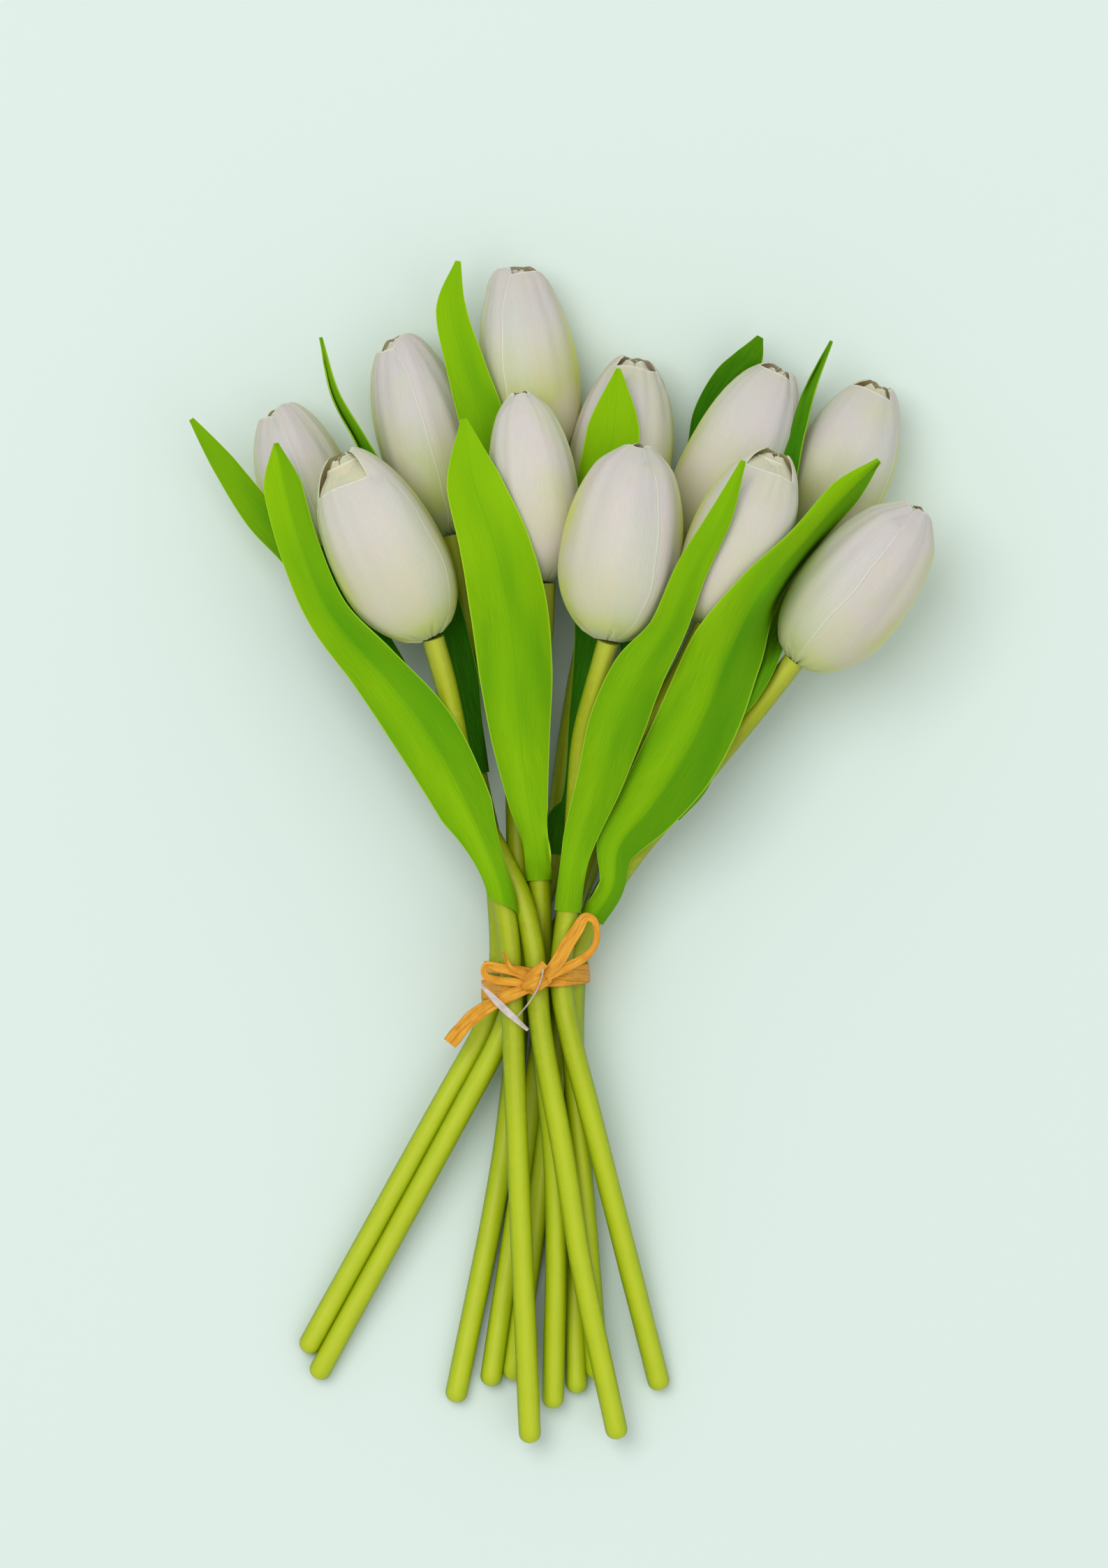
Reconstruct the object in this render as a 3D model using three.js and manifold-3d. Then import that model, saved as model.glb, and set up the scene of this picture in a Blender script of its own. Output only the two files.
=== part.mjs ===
// A bunch of eleven artificial tulips with their leaves, tied with raffia and lying on a flat surface.
// Millimetres, +Z up, +Y towards the blooms, +X to the right as seen from above.
import * as THREE from "three";
import { mergeVertices } from "three/addons/utils/BufferGeometryUtils.js";
import Module from "manifold-3d";

const wasm = await Module();
wasm.setup();

// Driving dimensions
const GAP = 0.35; // clear space kept between two pieces that touch
const STEM_RADIUS = 2.9;
const STEM_SIDES = 7;
const STEM_STEP = 18; // length of one straight piece of a stem
const BLOOM_LENGTH = 56;
const PETAL_THICKNESS = 1;
const LEAF_THICKNESS = 0.8;
const SHEATH_WIDTH = 7.4; // a leaf's width where it wraps its stem
const TIE_Y = -34.5; // where the raffia goes round the stems

const petalWhite = new THREE.MeshStandardMaterial({ color: 0xe6e1de, roughness: 0.6, metalness: 0 });
const stemGreen = new THREE.MeshStandardMaterial({ color: 0xaec21c, roughness: 0.55, metalness: 0 });
const leafGreen = new THREE.MeshStandardMaterial({ color: 0x7fc01a, roughness: 0.8, metalness: 0 });
const raffiaOrange = new THREE.MeshStandardMaterial({ color: 0xe8a23c, roughness: 0.7, metalness: 0 });
const pinWhite = new THREE.MeshStandardMaterial({ color: 0xd6ccc6, roughness: 0.35, metalness: 0 });

// Each bloom: its base on the stem, its open tip, its greatest radius, and the turn of its first outer petal
// away from straight up, in degrees. The first six lie on the surface, and the others lie on those.
const BLOOMS = [
  { base: [-6.2, 112, 14], tip: [-13.2, 168, 13.6], radius: 14.2, turn: 42 },
  { base: [-31.5, 93, 13.4], tip: [-47, 148, 13], radius: 13.6, turn: -37 },
  { base: [-64, 78, 13.4], tip: [-81, 128, 13], radius: 13.6, turn: 10 },
  { base: [12.3, 87, 14.5], tip: [21, 142, 14.1], radius: 14.8, turn: 15 },
  { base: [37, 87, 17.4], tip: [62.5, 139, 17.4], radius: 14.2, turn: -20 },
  { base: [69.5, 85, 14.4], tip: [91, 134.5, 14], radius: 14.6, turn: -10 },
  { base: [-37, 63, 35], tip: [-62.5, 114, 37], radius: 16.1, turn: -5 },
  { base: [-5, 79.5, 30.4], tip: [-11.4, 133, 37.6], radius: 12.6, turn: 10 },
  { base: [13.4, 62, 45], tip: [22.7, 118, 46], radius: 17.2, turn: -10 },
  { base: [41.2, 66.5, 43.2], tip: [61.6, 116, 45.2], radius: 14.4, turn: -12 },
  { base: [66.9, 56.2, 31], tip: [102.1, 98.6, 36], radius: 15.8, turn: 45 },
];

// Each stem, in the order of the blooms: points between bloom and tie, its place in the tie as [x, z],
// points below the tie, and the centre of its domed end.
const STEMS = [
  { above: [[-12, 60, 12], [-12, 15, 15]], tie: [-10.6, 15.6], below: [[-21, -60, 14]], end: [-70, -148.5, 3.2] },
  { above: [[-25, 30, 14], [-17, -5, 15]], tie: [-16, 12], below: [[-27, -60, 12]], end: [-73.5, -142, 2.95] },
  { above: [[-45, 45, 15], [-9.5, -16, 20.5]], tie: [-7.4, 21], below: [[1.2, -90, 17], [5, -115, 14.5]],
    end: [16, -165.5, 9] },
  { above: [[7, 60, 13], [1.8, 25, 9], [-2.5, -10, 5]], tie: [-10.4, 4.8], below: [[-15.6, -85, 4.2]],
    end: [-30.5, -155.5, 2.95] },
  { above: [[24, 50, 12], [4.5, -12, 6]], tie: [-4.3, 4.8], below: [[-9.4, -85, 4.2]], end: [-20, -151.5, 3.2] },
  { above: [], tie: [1.8, 4.8], below: [], end: [5.5, -152.5, 3] },
  { above: [[-32.5, 44.5, 30], [-16, -11, 24]], tie: [-13.6, 21], below: [], end: [-9, -168, 9] },
  { above: [[-9, 55, 27], [-9.5, 25, 22], [-7.5, -10, 16]], tie: [-7.4, 10.2], below: [[-1.6, -90, 11]],
    end: [-2.5, -158, 5] },
  { above: [[7.5, 46, 37], [1.8, -13.5, 24]], tie: [-1.2, 21], below: [[3, -55.5, 20]], end: [28.5, -153, 2.95] },
  { above: [[26, 42, 36], [8, 5, 20]], tie: [-1.3, 10.2], below: [], end: [-14.5, -149, 3.2] },
  { above: [[50.5, 36, 24], [36, 19, 22], [22, 4, 20], [8, -17, 18]], tie: [1.8, 15.6], below: [], end: [9.5, -149.5, 6] },
];

// Each leaf, from the lowest to the one on top: the stem it grows on, where its sheath begins along Y, and its
// midline from there to the tip as [x, y, width, height]. roll turns the blade on edge towards its tip, in
// degrees, fold lowers its edges, and beneath lists the blooms and the stems that lie over it.
const LEAVES = [
  { stem: 4, start: 40, roll: 0, fold: 0.1, beneath: { blooms: [3, 4, 8, 9], stems: [8, 9] },
    line: [[20, 62, 6, 10], [23, 77, 6.5, 6], [27, 90, 8, 2.5], [34, 103, 8, 1.2], [40, 117, 8, 1.2],
      [42, 127, 8, 3], [48, 137, 9, 9], [54, 143.2, 8, 14], [57.2, 149.3, 2, 17]] },
  { stem: 2, start: 28, roll: 0, fold: 0.5, beneath: { blooms: [6], stems: [6] },
    line: [[-50, 47, 11, 21], [-62, 66, 11, 22], [-74, 86, 11, 22], [-86, 98, 9.5, 21],
      [-97, 113, 6.5, 22], [-106, 125.5, 1.4, 24]] },
  { stem: 2, start: 12, roll: 0, fold: 0.3, beneath: { blooms: [6], stems: [6] },
    line: [[-53, 63, 7, 26], [-62, 77, 6, 27], [-69, 89, 1.4, 29]] },
  { stem: 1, start: 24, roll: 62, fold: 0.3, beneath: { blooms: [6], stems: [6] },
    line: [[-29, 50, 11, 16], [-35, 75, 10, 15], [-44, 95, 8, 14], [-53, 110, 8, 15],
      [-59, 120.5, 7, 17], [-65.5, 133, 5, 19], [-69, 149, 1.4, 21]] },
  { stem: 0, start: 56, roll: 0, fold: 0.3, beneath: { blooms: [7], stems: [7] },
    line: [[-15, 82, 10, 16], [-18, 105, 12, 20], [-22.5, 125, 13, 22], [-27.5, 141.5, 11, 22],
      [-31.5, 157.5, 8.5, 20], [-29.5, 171, 1.4, 18]] },
  { stem: 5, start: 34, roll: 60, fold: 0.3, beneath: { blooms: [9], stems: [9, 10] },
    line: [[56, 78, 8, 16], [63, 105, 8, 21], [67.5, 124, 8, 19], [71, 135, 6, 19], [77.5, 148, 1.4, 21]] },
  { stem: 10, start: 13, roll: 0, fold: 0.4, beneath: { blooms: [10], stems: [] },
    line: [[42.5, 34.5, 6, 28], [53.5, 46.5, 6, 28], [60, 58, 5.5, 24], [63.2, 68, 4.4, 17], [65.5, 77, 1.4, 16]] },
  { stem: 3, start: 1, roll: 0, fold: 0.3, beneath: { blooms: [7, 8], stems: [7, 8, 9, 10] },
    line: [[3, 15, 6.5, 14], [7, 42, 9, 17], [10, 65.5, 12, 19], [9.5, 85.5, 14, 26], [12, 103, 16, 29],
      [15, 122, 15, 30], [16.5, 140, 1.4, 28]] },
  { stem: 10, start: -17.5, roll: 0, fold: 0.45, beneath: { blooms: [10], stems: [] },
    line: [[16, 3, 12, 24], [25, 15, 18, 28], [33, 27, 22, 30], [40, 41, 23, 31], [47.5, 59.5, 21, 34],
      [56, 75.5, 13, 38], [69, 90.5, 8.5, 38], [80.5, 103.5, 8.5, 34], [91, 113.5, 1.4, 32]] },
  { stem: 8, start: -15.5, roll: 0, fold: 0.45, beneath: { blooms: [], stems: [] },
    line: [[5, 4, 9, 30], [11, 21.5, 13, 36], [16.5, 39.5, 16, 42], [22, 52.5, 15, 47],
      [30, 64.5, 10.5, 50], [37, 81.5, 9, 54], [45.5, 97.5, 6.5, 57], [52, 113, 1.4, 57]] },
  { stem: 7, start: -6.5, roll: 0, fold: 0.3, beneath: { blooms: [], stems: [] },
    line: [[-9, 13.5, 10.5, 26], [-11.5, 33.5, 16.5, 30], [-13, 53.5, 21, 35], [-15, 71.5, 22, 40],
      [-19, 89.5, 20, 43], [-25, 107.5, 15.5, 42], [-27.8, 125.3, 1.6, 38]] },
  { stem: 6, start: -17, roll: 0, fold: 0.4, beneath: { blooms: [], stems: [] },
    line: [[-27, 13.5, 15.5, 30], [-39, 35.5, 18.5, 32], [-53, 53.5, 15, 32], [-66.5, 69.5, 12, 32],
      [-74.5, 87.5, 11.5, 33], [-79.5, 105.5, 11, 33], [-81.5, 118.5, 1.4, 34]] },
];

// Points of the raffia, seen from above, with the height of each: the bow loop, the small loop on the left,
// the long tail and the two short ends. All start in the knot.
const KNOT = [-7, -36.5, 27.8];
const BOW = [[-3.7, -34.3, 28], [1.5, -31.6, 28], [6.7, -28.7, 27.4], [9.6, -25.3, 26.8], [10.3, -21.5, 26.4],
  [9.4, -18, 26.2], [7, -17.2, 26.6], [4.6, -20.8, 27.2], [1.8, -25, 27.8], [-1, -30, 28.2]];
const LEFT_LOOP = [[-12, -33.2, 28], [-18, -31.6, 27.2], [-21.4, -30.9, 26], [-22.2, -33, 25.6],
  [-20.5, -34.7, 25.8], [-13, -35.8, 27.4]];
const TAIL = [[-12, -38.5, 27.6], [-16.5, -40.4, 26.6], [-21, -42.8, 25.4], [-25.5, -46, 24.2],
  [-29, -49.8, 23.2], [-31.9, -53.4, 22.4]];
const SPIKE = [[-11, -33, 28.2], [-14.5, -31.5, 28.8], [-16.5, -27, 29.2]];
const TAG_BAR = [[-23, -36.5, 28.4], [-16.5, -43.2, 28], [-9.5, -49.5, 27]];
const TAG_THREAD = [[-12.4, -45.5, 27.8], [-9.4, -41.9, 29.6], [-7, -38, 31], [-5.6, -34.6, 30.8], [-5.1, -32, 29.6]];

const UP = new THREE.Vector3(0, 0, 1);
const toVector = (p) => new THREE.Vector3(p[0], p[1], p[2]);
const mix = (a, b, share) => a + (b - a) * share;

// Solids

function signedVolume(points, triangles) {
  let sum = 0;
  for (const [a, b, c] of triangles) sum += points[a].dot(points[b].clone().cross(points[c]));
  return sum / 6;
}

function geometryOf(points, triangles) {
  const facing = signedVolume(points, triangles) < 0 ? triangles.map(([a, b, c]) => [a, c, b]) : triangles;
  const geometry = new THREE.BufferGeometry();
  geometry.setAttribute("position", new THREE.Float32BufferAttribute(points.flatMap((p) => p.toArray()), 3));
  geometry.setIndex(facing.flat());
  return geometry;
}

// A closed solid from sections with the same number of points, capped at both ends or joined into a ring.
function sweep(sections, ring = false) {
  const sides = sections[0].length;
  const points = sections.flat();
  const triangles = [];
  const spans = ring ? sections.length : sections.length - 1;
  for (let i = 0; i < spans; i++) {
    for (let k = 0; k < sides; k++) {
      const a = i * sides + k;
      const b = i * sides + ((k + 1) % sides);
      const c = ((i + 1) % sections.length) * sides + k;
      const d = ((i + 1) % sections.length) * sides + ((k + 1) % sides);
      triangles.push([a, b, d], [a, d, c]);
    }
  }
  if (!ring) {
    const last = (sections.length - 1) * sides;
    for (let k = 1; k < sides - 1; k++) triangles.push([0, k + 1, k], [last, last + k, last + k + 1]);
  }
  return geometryOf(points, triangles);
}

// A thin closed solid between two grids of points, with the same triangles on both faces.
function sheet(front, back) {
  const rows = front.length;
  const columns = front[0].length;
  const points = [...front.flat(), ...back.flat()];
  const other = rows * columns;
  const at = (i, j) => i * columns + j;
  const triangles = [];
  for (let i = 0; i < rows - 1; i++) {
    for (let j = 0; j < columns - 1; j++) {
      const quad = [at(i, j), at(i, j + 1), at(i + 1, j + 1), at(i + 1, j)];
      triangles.push([quad[0], quad[1], quad[2]], [quad[0], quad[2], quad[3]]);
      const [a, b, c, d] = quad.map((n) => n + other);
      triangles.push([a, c, b], [a, d, c]);
    }
  }
  const border = [];
  for (let j = 0; j < columns - 1; j++) border.push(at(0, j));
  for (let i = 0; i < rows - 1; i++) border.push(at(i, columns - 1));
  for (let j = columns - 1; j > 0; j--) border.push(at(rows - 1, j));
  for (let i = rows - 1; i > 0; i--) border.push(at(i, 0));
  border.forEach((a, n) => {
    const b = border[(n + 1) % border.length];
    triangles.push([a, a + other, b + other], [a, b + other, b]);
  });
  return geometryOf(points, triangles);
}

function solidOf(geometry) {
  const bare = geometry.clone();
  bare.deleteAttribute("normal");
  bare.deleteAttribute("uv");
  const merged = mergeVertices(bare, 1e-3);
  return new wasm.Manifold(
    new wasm.Mesh({
      numProp: 3,
      vertProperties: new Float32Array(merged.attributes.position.array),
      triVerts: new Uint32Array(merged.index.array),
    }),
  );
}

function geometryFrom(solid) {
  const made = solid.getMesh();
  const geometry = new THREE.BufferGeometry();
  geometry.setAttribute("position", new THREE.BufferAttribute(made.vertProperties, 3));
  geometry.setIndex(new THREE.BufferAttribute(made.triVerts, 1));
  return geometry;
}

const fused = (geometries) => geometries.map(solidOf).reduce((a, b) => a.add(b));

// The largest body of a solid, without sealed hollows and loose scraps.
const largestBody = (solid) => solid.decompose().reduce((a, b) => (b.volume() > a.volume() ? b : a));

// Blooms

const PEAK = 0.4; // where along its length a bloom is widest
const BASE_SHARE = 0.24;
const TIP_SHARE = 0.26;
const PETAL_COLUMNS = 4;
const PETAL_ROWS = 5;
const INNER_COLUMNS = 2;
const INNER_ROWS = 2;
const INNER_START = 0.68; // the inner petals show only above this share of the length
const INNER_END = 0.97;
const INNER_INSET = 1.3; // how much nearer the axis the inner petals lie
const OUTER_HALF_ANGLE = 63;
const INNER_HALF_ANGLE = 48;
const EDGE_LIFT = 0.45; // one edge of each petal stands out this far, and the other lies under its neighbour
const CORE_INSET = 1.2;
const CORE_END = 0.8;
const CORE_SIDES = 6;

// The radius of a closed bloom at a share of its length, as a share of its greatest radius: full and round
// below its peak, and drawn in more slowly above it.
function bloomShare(t) {
  const fullness = { below: [2.3, 0.6], above: [2, 0.8] };
  const round = (u, [power, root]) => Math.max(0, 1 - u ** power) ** root;
  if (t < PEAK) return mix(BASE_SHARE, 1, round((PEAK - t) / PEAK, fullness.below));
  return mix(TIP_SHARE, 1, round((t - PEAK) / (1 - PEAK), fullness.above));
}

function bloomFrame(bloom) {
  const base = toVector(bloom.base);
  const axis = toVector(bloom.tip).sub(base).normalize();
  const up = UP.clone().addScaledVector(axis, -UP.dot(axis)).normalize();
  const side = axis.clone().cross(up);
  const point = (along, radius, angle) =>
    base.clone()
      .addScaledVector(axis, along)
      .addScaledVector(up, radius * Math.cos(angle))
      .addScaledVector(side, radius * Math.sin(angle));
  return { base, axis, up, side, point };
}

// The half angle that a petal spans at a share of its length: wide low down, rounded off at its tip.
function petalHalfAngle(t, widest) {
  const narrowing = 0.25; // at the base
  const end = 1.03; // where the rounding would close to a point
  const u = t < PEAK ? (narrowing * (PEAK - t)) / PEAK : (t - PEAK) / (end - PEAK);
  return THREE.MathUtils.degToRad(widest) * Math.sqrt(1 - u * u);
}

// Low down a petal reaches into the core that it is glued to, and towards its tip it stands free.
function petalDepth(t, radius) {
  const glued = { reach: 0.7 * radius, end: 0.6 };
  return mix(glued.reach, PETAL_THICKNESS, THREE.MathUtils.smoothstep(t, glued.end, CORE_END));
}

function outerPetal(bloom, centre) {
  return petal(bloom, centre, {
    columns: PETAL_COLUMNS, rows: PETAL_ROWS, start: 0, end: 1, widest: OUTER_HALF_ANGLE, inset: 0,
  });
}

function innerPetal(bloom, centre) {
  return petal(bloom, centre, {
    columns: INNER_COLUMNS, rows: INNER_ROWS, start: INNER_START, end: INNER_END,
    widest: INNER_HALF_ANGLE, inset: INNER_INSET,
  });
}

function petal(bloom, centre, { columns, rows, start, end, widest, inset }) {
  const frame = bloomFrame(bloom);
  const grid = (depth) =>
    Array.from({ length: rows + 1 }, (_, i) =>
      Array.from({ length: columns + 1 }, (_, j) => {
        const t = mix(start, end, i / rows);
        const across = (2 * j) / columns - 1;
        const angle = THREE.MathUtils.degToRad(centre) + across * petalHalfAngle(t / end, widest);
        const radius = bloom.radius * bloomShare(t);
        return frame.point(t * BLOOM_LENGTH, radius + EDGE_LIFT * across - inset - depth(t, radius), angle);
      }),
    );
  return sheet(grid(() => 0), grid(petalDepth));
}

function bloomCore(bloom) {
  const frame = bloomFrame(bloom);
  const outline = [new THREE.Vector2(0, 0)];
  for (const t of [0, 0.4, CORE_END]) {
    outline.push(new THREE.Vector2(bloom.radius * bloomShare(t) - CORE_INSET, t * BLOOM_LENGTH));
  }
  outline.push(new THREE.Vector2(0, CORE_END * BLOOM_LENGTH));
  const core = new THREE.LatheGeometry(outline, CORE_SIDES);
  const place = new THREE.Matrix4().makeBasis(frame.side, frame.axis, frame.up);
  return core.applyMatrix4(place.setPosition(frame.base));
}

function bloomSolid(bloom) {
  const pieces = [bloomCore(bloom)];
  for (const k of [0, 1, 2]) {
    pieces.push(outerPetal(bloom, bloom.turn + 120 * k), innerPetal(bloom, bloom.turn + 60 + 120 * k));
  }
  return fused(pieces);
}

// A box under the surface, which presses the lowest blooms flat.
function belowSurface() {
  const depth = 40;
  return solidOf(new THREE.BoxGeometry(400, 400, depth).translate(0, 0, -depth / 2));
}

// Stems

const STEM_ROUNDS = 260;
const STEM_LAST_ROUNDS = 60; // at the end, in which shifts are no longer evened out
const STEM_EVENING = 0.3; // how far each round evens out the shifts along a stem
const NECK = 14; // a stem leaves its bloom straight for this length
const SEAT = 0.8; // from a bloom's base to the middle of its stem's top, which is cut a little askew
const UNDER_TIE = 1.9; // room that the raffia needs under the lowest stems

function stemRoute(stem, bloom) {
  const { base, axis } = bloomFrame(bloom);
  const [x, z] = stem.tie;
  const straight = 6;
  const points = [
    base.clone().addScaledVector(axis, -SEAT),
    base.clone().addScaledVector(axis, -NECK),
    ...stem.above.map(toVector),
    new THREE.Vector3(x, TIE_Y + straight, z),
    new THREE.Vector3(x, TIE_Y - straight, z),
    ...stem.below.map(toVector),
    toVector(stem.end),
  ];
  const curve = new THREE.CatmullRomCurve3(points);
  return curve.getSpacedPoints(Math.round(curve.getLength() / STEM_STEP));
}

// The shares along two straight pieces at which they are nearest to each other.
function nearestShares(p, q, r, s) {
  const u = q.clone().sub(p);
  const v = s.clone().sub(r);
  const w = p.clone().sub(r);
  const uu = u.dot(u);
  const uv = u.dot(v);
  const vv = v.dot(v);
  const uw = u.dot(w);
  const vw = v.dot(w);
  const clamp = THREE.MathUtils.clamp;
  const cross = uu * vv - uv * uv;
  let a = cross > 1e-6 * uu * vv ? clamp((uv * vw - vv * uw) / cross, 0, 1) : 0.5;
  const b = clamp((uv * a + vw) / vv, 0, 1);
  a = clamp((uv * b - uw) / uu, 0, 1);
  return [a, b];
}

function pushStemsApart(one, two) {
  const wanted = 2 * STEM_RADIUS + GAP;
  for (let i = 0; i < one.length - 1; i++) {
    for (let k = 0; k < two.length - 1; k++) {
      if (Math.abs(one[i].y - two[k].y) > 2.5 * STEM_STEP) continue;
      const [a, b] = nearestShares(one[i], one[i + 1], two[k], two[k + 1]);
      const from = two[k].clone().lerp(two[k + 1], b);
      const away = one[i].clone().lerp(one[i + 1], a).sub(from);
      const distance = away.length();
      if (distance >= wanted) continue;
      away.multiplyScalar((0.5 * (wanted - distance)) / Math.max(distance, 1e-3));
      one[i].addScaledVector(away, 1 - a);
      one[i + 1].addScaledVector(away, a);
      two[k].addScaledVector(away, b - 1);
      two[k + 1].addScaledVector(away, -b);
    }
  }
}

function pushFromBloom(route, bloom) {
  const { base, axis } = bloomFrame(bloom);
  for (const point of route) {
    const from = point.clone().sub(base);
    const t = from.dot(axis) / BLOOM_LENGTH;
    if (t < -0.05 || t > 1.05) continue;
    const away = from.addScaledVector(axis, -t * BLOOM_LENGTH);
    const wanted = bloom.radius * bloomShare(THREE.MathUtils.clamp(t, 0, 1)) + STEM_RADIUS + 2 * GAP;
    const distance = away.length();
    if (distance < wanted) point.addScaledVector(away, (wanted - distance) / distance);
  }
}

// Pushes the stems apart, clear of the blooms and up onto the surface, and spreads each shift along its stem.
function settle(routes) {
  const first = routes.map((route) => route.map((p) => p.clone()));
  for (let round = 0; round < STEM_ROUNDS; round++) {
    routes.forEach((one, i) => routes.slice(i + 1).forEach((two) => pushStemsApart(one, two)));
    routes.forEach((route, i) => {
      BLOOMS.forEach((bloom, k) => k !== i && pushFromBloom(route, bloom));
      if (round < STEM_ROUNDS - STEM_LAST_ROUNDS) {
        const shift = route.map((p, n) => p.clone().sub(first[i][n]));
        for (let n = 1; n < route.length - 1; n++) {
          const even = shift[n - 1].clone().add(shift[n + 1]).multiplyScalar(0.5);
          route[n].addScaledVector(even.sub(shift[n]), STEM_EVENING);
        }
      }
      route[0].copy(first[i][0]);
      for (const point of route) {
        const lift = Math.abs(point.y - TIE_Y) < STEM_STEP + 4 ? UNDER_TIE : 0.05;
        point.z = Math.max(point.z, STEM_RADIUS + lift);
      }
    });
  }
  return routes;
}

function ringAround(centre, along, radius, sides) {
  const side = along.clone().cross(UP).normalize();
  const up = side.clone().cross(along).normalize();
  return Array.from({ length: sides }, (_, k) => {
    const angle = (2 * Math.PI * (k + 0.5)) / sides;
    return centre.clone()
      .addScaledVector(side, radius * Math.cos(angle))
      .addScaledVector(up, radius * Math.sin(angle));
  });
}

function directionAt(route, n) {
  return route[Math.min(n + 1, route.length - 1)].clone().sub(route[Math.max(n - 1, 0)]).normalize();
}

function stemSolid(route) {
  const rings = route.map((p, n) => ringAround(p, directionAt(route, n), STEM_RADIUS, STEM_SIDES));
  const end = route[route.length - 1];
  const along = directionAt(route, route.length - 1);
  for (const degrees of [40, 75]) {
    const angle = THREE.MathUtils.degToRad(degrees);
    const centre = end.clone().addScaledVector(along, STEM_RADIUS * Math.sin(angle));
    rings.push(ringAround(centre, along, STEM_RADIUS * Math.cos(angle), STEM_SIDES));
  }
  return sweep(rings);
}

function pointAtY(route, y) {
  const n = route.findIndex((p) => p.y < y);
  const share = (y - route[n - 1].y) / (route[n].y - route[n - 1].y);
  return route[n - 1].clone().lerp(route[n], share);
}

// Leaves

const LEAF_COLUMNS = 4;
const SHEATH_LENGTH = 9;
const SHEATH_HALF_ANGLE = THREE.MathUtils.degToRad(80);
const LEAF_REST = LEAF_THICKNESS / 2 + GAP; // from a leaf's middle surface to what it rests on
const LEAF_OVER_LEAF = 2.2;
const BLADE_SAG = 1; // how far a straight piece of blade can cut into a round thing between its corners
const BLADE_SPREAD = 3.2;
const SHEATH_ROWS = 2;
const DRAPE_ROUNDS = 160;
const DRAPE_EVENING = 0.985; // how much of a shift each round hands on to the points beside it
const ROWS_PER_POINT = 1.4; // rows of a blade for each point of its midline
const ROLL_RANGE = [0.3, 0.65]; // shares of a leaf's length between which its roll begins and is full
const FOLD_CURVE = 1.6; // how sharply a fold lowers a blade's edges

// The middle surface of a leaf as rows of points across it, before it is bent clear of what it crosses.
function leafShape(leaf, route) {
  const pipe = STEM_RADIUS + LEAF_REST;
  const sheath = [leaf.start, leaf.start + SHEATH_LENGTH].map((y) => {
    const p = pointAtY(route, y);
    return [p.x, p.y, SHEATH_WIDTH, p.z + pipe];
  });
  const line = [...sheath, ...leaf.line];
  const midline = new THREE.CatmullRomCurve3(line.map(([x, y, , z]) => new THREE.Vector3(x, y, z)));
  const widths = new THREE.CatmullRomCurve3(line.map(([, , width], i) => new THREE.Vector3(width, i, 0)));
  const rows = Math.round(ROWS_PER_POINT * (line.length - 1));
  return Array.from({ length: rows + 1 }, (_, i) => {
    const share = i / rows;
    const centre = midline.getPoint(share);
    const along = midline.getTangent(share).setZ(0).normalize();
    const half = widths.getPoint(share).x / 2;
    const open = THREE.MathUtils.clamp(share * (line.length - 1) - 1, 0, 1);
    const roll = THREE.MathUtils.degToRad(leaf.roll) * THREE.MathUtils.smoothstep(share, ...ROLL_RANGE);
    const flat = new THREE.Vector3(along.y, -along.x, 0);
    const side = flat.clone().multiplyScalar(Math.cos(roll)).addScaledVector(UP, Math.sin(roll));
    const top = UP.clone().multiplyScalar(Math.cos(roll)).addScaledVector(flat, -Math.sin(roll));
    return Array.from({ length: LEAF_COLUMNS + 1 }, (_, j) => {
      const across = (2 * j) / LEAF_COLUMNS - 1;
      const angle = across * SHEATH_HALF_ANGLE;
      const sideways = mix(pipe * Math.sin(angle), across * half, open);
      const drop = mix(pipe * (1 - Math.cos(angle)), leaf.fold * half * Math.abs(across) ** FOLD_CURVE, open);
      return centre.clone().addScaledVector(side, sideways).addScaledVector(top, -drop);
    });
  });
}

// The half height of a round thing of this radius at a distance beside its axis, or nothing past its side.
function halfHeight(radius, distance) {
  return distance < radius ? Math.sqrt(radius * radius - distance * distance) : undefined;
}

function limitsFromBloom(point, bloom, rest) {
  const { base, axis } = bloomFrame(bloom);
  const flat = axis.clone().setZ(0);
  const scale = flat.length();
  flat.divideScalar(scale);
  const from = point.clone().sub(base).setZ(0);
  const along = from.dot(flat) / scale;
  const t = THREE.MathUtils.clamp(along / BLOOM_LENGTH, 0, 1);
  if (Math.abs(along - t * BLOOM_LENGTH) > 2) return undefined;
  const beside = Math.abs(from.x * flat.y - from.y * flat.x);
  const half = halfHeight(bloom.radius * bloomShare(t) + EDGE_LIFT + rest, beside);
  return half === undefined ? undefined : [base.z + axis.z * along, half];
}

// spread widens the stem, because a blade's straight pieces can pass over it between two of their corners.
function limitsFromStem(point, route, rest, spread) {
  let best;
  for (let n = 0; n < route.length - 1; n++) {
    const span = route[n + 1].clone().sub(route[n]);
    const from = point.clone().sub(route[n]);
    const flat = span.x * span.x + span.y * span.y;
    const share = THREE.MathUtils.clamp((from.x * span.x + from.y * span.y) / flat, 0, 1);
    const near = route[n].clone().addScaledVector(span, share);
    const beside = Math.hypot(point.x - near.x, point.y - near.y);
    if (!best || beside < best.beside) best = { beside, z: near.z };
  }
  const half = halfHeight(STEM_RADIUS + rest, Math.max(0, best.beside - spread));
  return half === undefined ? undefined : [best.z, half];
}

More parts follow.
